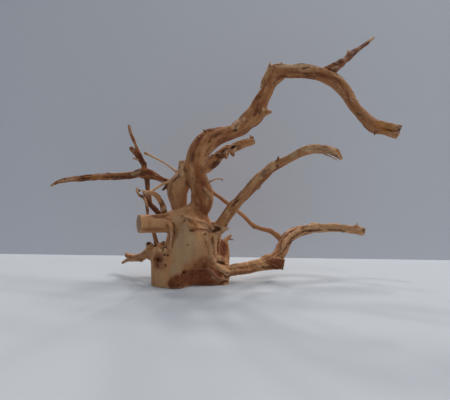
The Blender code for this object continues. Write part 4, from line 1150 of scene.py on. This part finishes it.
read = {name: add_node("ShaderNodeAttribute", {"attribute_name": name}, {}) for name in layers}
grain_place = add_node("ShaderNodeAttribute", {"attribute_name": "grain"}, {}).node.outputs["Vector"]
object_place = add_node("ShaderNodeTexCoord", {}, {})
along_grain = add_node("ShaderNodeVectorMath", {"operation": "MULTIPLY"},
                       {0: grain_place, 1: (1, 1, 1 / GRAIN_STRETCH)})
NOISE, RANGE, MATH, MIX = "ShaderNodeTexNoise", "ShaderNodeMapRange", "ShaderNodeMath", "ShaderNodeMix"
SUM = {"operation": "MULTIPLY_ADD"}
PRODUCT = {"operation": "MULTIPLY", "use_clamp": True}
OVER = {"data_type": "RGBA"}
SHARE, BELOW, ABOVE = 0, 6, 7
fibres, bands, blotches, specks = (
    add_node(NOISE, {}, {"Vector": place, "Scale": 1 / size, "Detail": detail, "Roughness": roughness})
    for place, size, detail, roughness in (
        (along_grain, FIBRE_MM, 3.0, 0.6),
        (along_grain, BAND_MM, 3.0, 0.55),
        (object_place, BLOTCH_MM * MM, 4.0, 0.6),
        (object_place, SPECK_MM * MM, 3.0, 0.6),
    )
)

# Tan, rust and bleached wood lie over the warm brown in that order. Each follows a layer of the skin
# and a pattern: the layer, its weight, the pattern, where it starts and ends, its strength, its colour.
colour = linear(WARM_BROWN)
for layer_name, weight, pattern, start, end, strength, coat in (
    ("pale", 0.5, bands, 0.5, 0.85, 1.0, TAN),
    ("pale", -0.25, blotches, 0.4, 0.65, 0.6, RUST_AND_SHADE),
    ("crest", 0.45, specks, 0.55, 1.0, 0.75, BLEACHED_AND_HIGHLIGHT),
):
    amount = add_node(MATH, SUM, {0: read[layer_name], 1: weight, 2: pattern})
    amount = add_node(RANGE, {}, {"Value": amount, "From Min": start, "From Max": end, "To Max": strength})
    colour = add_node(MIX, OVER, {SHARE: amount, BELOW: colour, ABOVE: linear(coat)})
streaks = add_node(RANGE, {}, {"Value": fibres, "From Min": 0.5, "From Max": 0.75, "To Max": 0.35})
barer = add_node(MATH, SUM, {0: read["pale"], 1: -1.3, 2: 1.2})
streaks = add_node(MATH, PRODUCT, {0: streaks, 1: barer})
colour = add_node(MIX, OVER, {SHARE: streaks, BELOW: colour, ABOVE: linear(RUST_AND_SHADE)})
left_bark = add_node(MATH, SUM, {0: specks, 1: SPECK_SHARE, 2: BARK_LEAST})
left_bark = add_node(MATH, PRODUCT, {0: left_bark, 1: read["bark"]})
colour = add_node(MIX, OVER, {SHARE: left_bark, BELOW: colour, ABOVE: linear(BARK)})
# Painted shade: deep in furrows and nooks the colour turns towards SHADE.
shaded = add_node(RANGE, {}, {"Value": read["hollow"], "From Min": 0.4, "From Max": 1.1, "To Max": 0.6})
colour = add_node(MIX, OVER, {SHARE: shaded, BELOW: colour, ABOVE: linear(SHADE)})
# The stains go on last. The red-brown and pale ones include painted shade and painted highlights.
for name, stain_colour in STAIN_COLOURS.items():
    patchy = add_node(MATH, SUM, {0: specks, 1: SPECK_SHARE, 2: STAIN_LEAST})
    patchy = add_node(MATH, PRODUCT, {0: patchy, 1: read[name]})
    colour = add_node(MIX, OVER, {SHARE: patchy, BELOW: colour, ABOVE: linear(stain_colour)})
from_pith = add_node("ShaderNodeVectorMath", {"operation": "MULTIPLY"}, {0: grain_place, 1: (1, 1, 0)})
from_pith = add_node("ShaderNodeVectorMath", {"operation": "LENGTH"}, {0: from_pith}).node.outputs["Value"]
rings = add_node(MATH, SUM, {0: blotches, 1: RING_WANDER, 2: from_pith})
rings = add_node(MATH, {"operation": "MULTIPLY"}, {0: rings, 1: 2 * math.pi / RING_MM})
rings = add_node(MATH, {"operation": "SINE"}, {0: rings})
rings = add_node(RANGE, {}, {"Value": rings, "From Min": -1.0, "To Max": 0.6})
end_grain = add_node(MIX, OVER, {SHARE: rings, BELOW: linear(END_GRAIN), ABOVE: linear(WARM_BROWN)})
colour = add_node(MIX, OVER, {SHARE: read["sawn"], BELOW: colour, ABOVE: end_grain})

relief = add_node(MATH, {"operation": "ADD"}, {0: fibres, 1: specks})
bump = add_node("ShaderNodeBump", {}, {"Strength": RELIEF_STRENGTH, "Distance": RELIEF_MM * MM,
                                       "Height": relief})
gloss = add_node(RANGE, {}, {"Value": specks, "From Min": 0.3, "From Max": 0.7,
                             "To Min": 0.5, "To Max": 0.75})
tree.links.new(colour, shader.inputs["Base Color"])
tree.links.new(bump, shader.inputs["Normal"])
tree.links.new(gloss, shader.inputs["Roughness"])
shader.inputs["Specular IOR Level"].default_value = DRY_SHINE
finished.materials.append(wood_look)

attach(root, "root")
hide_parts("moor_wood_root")
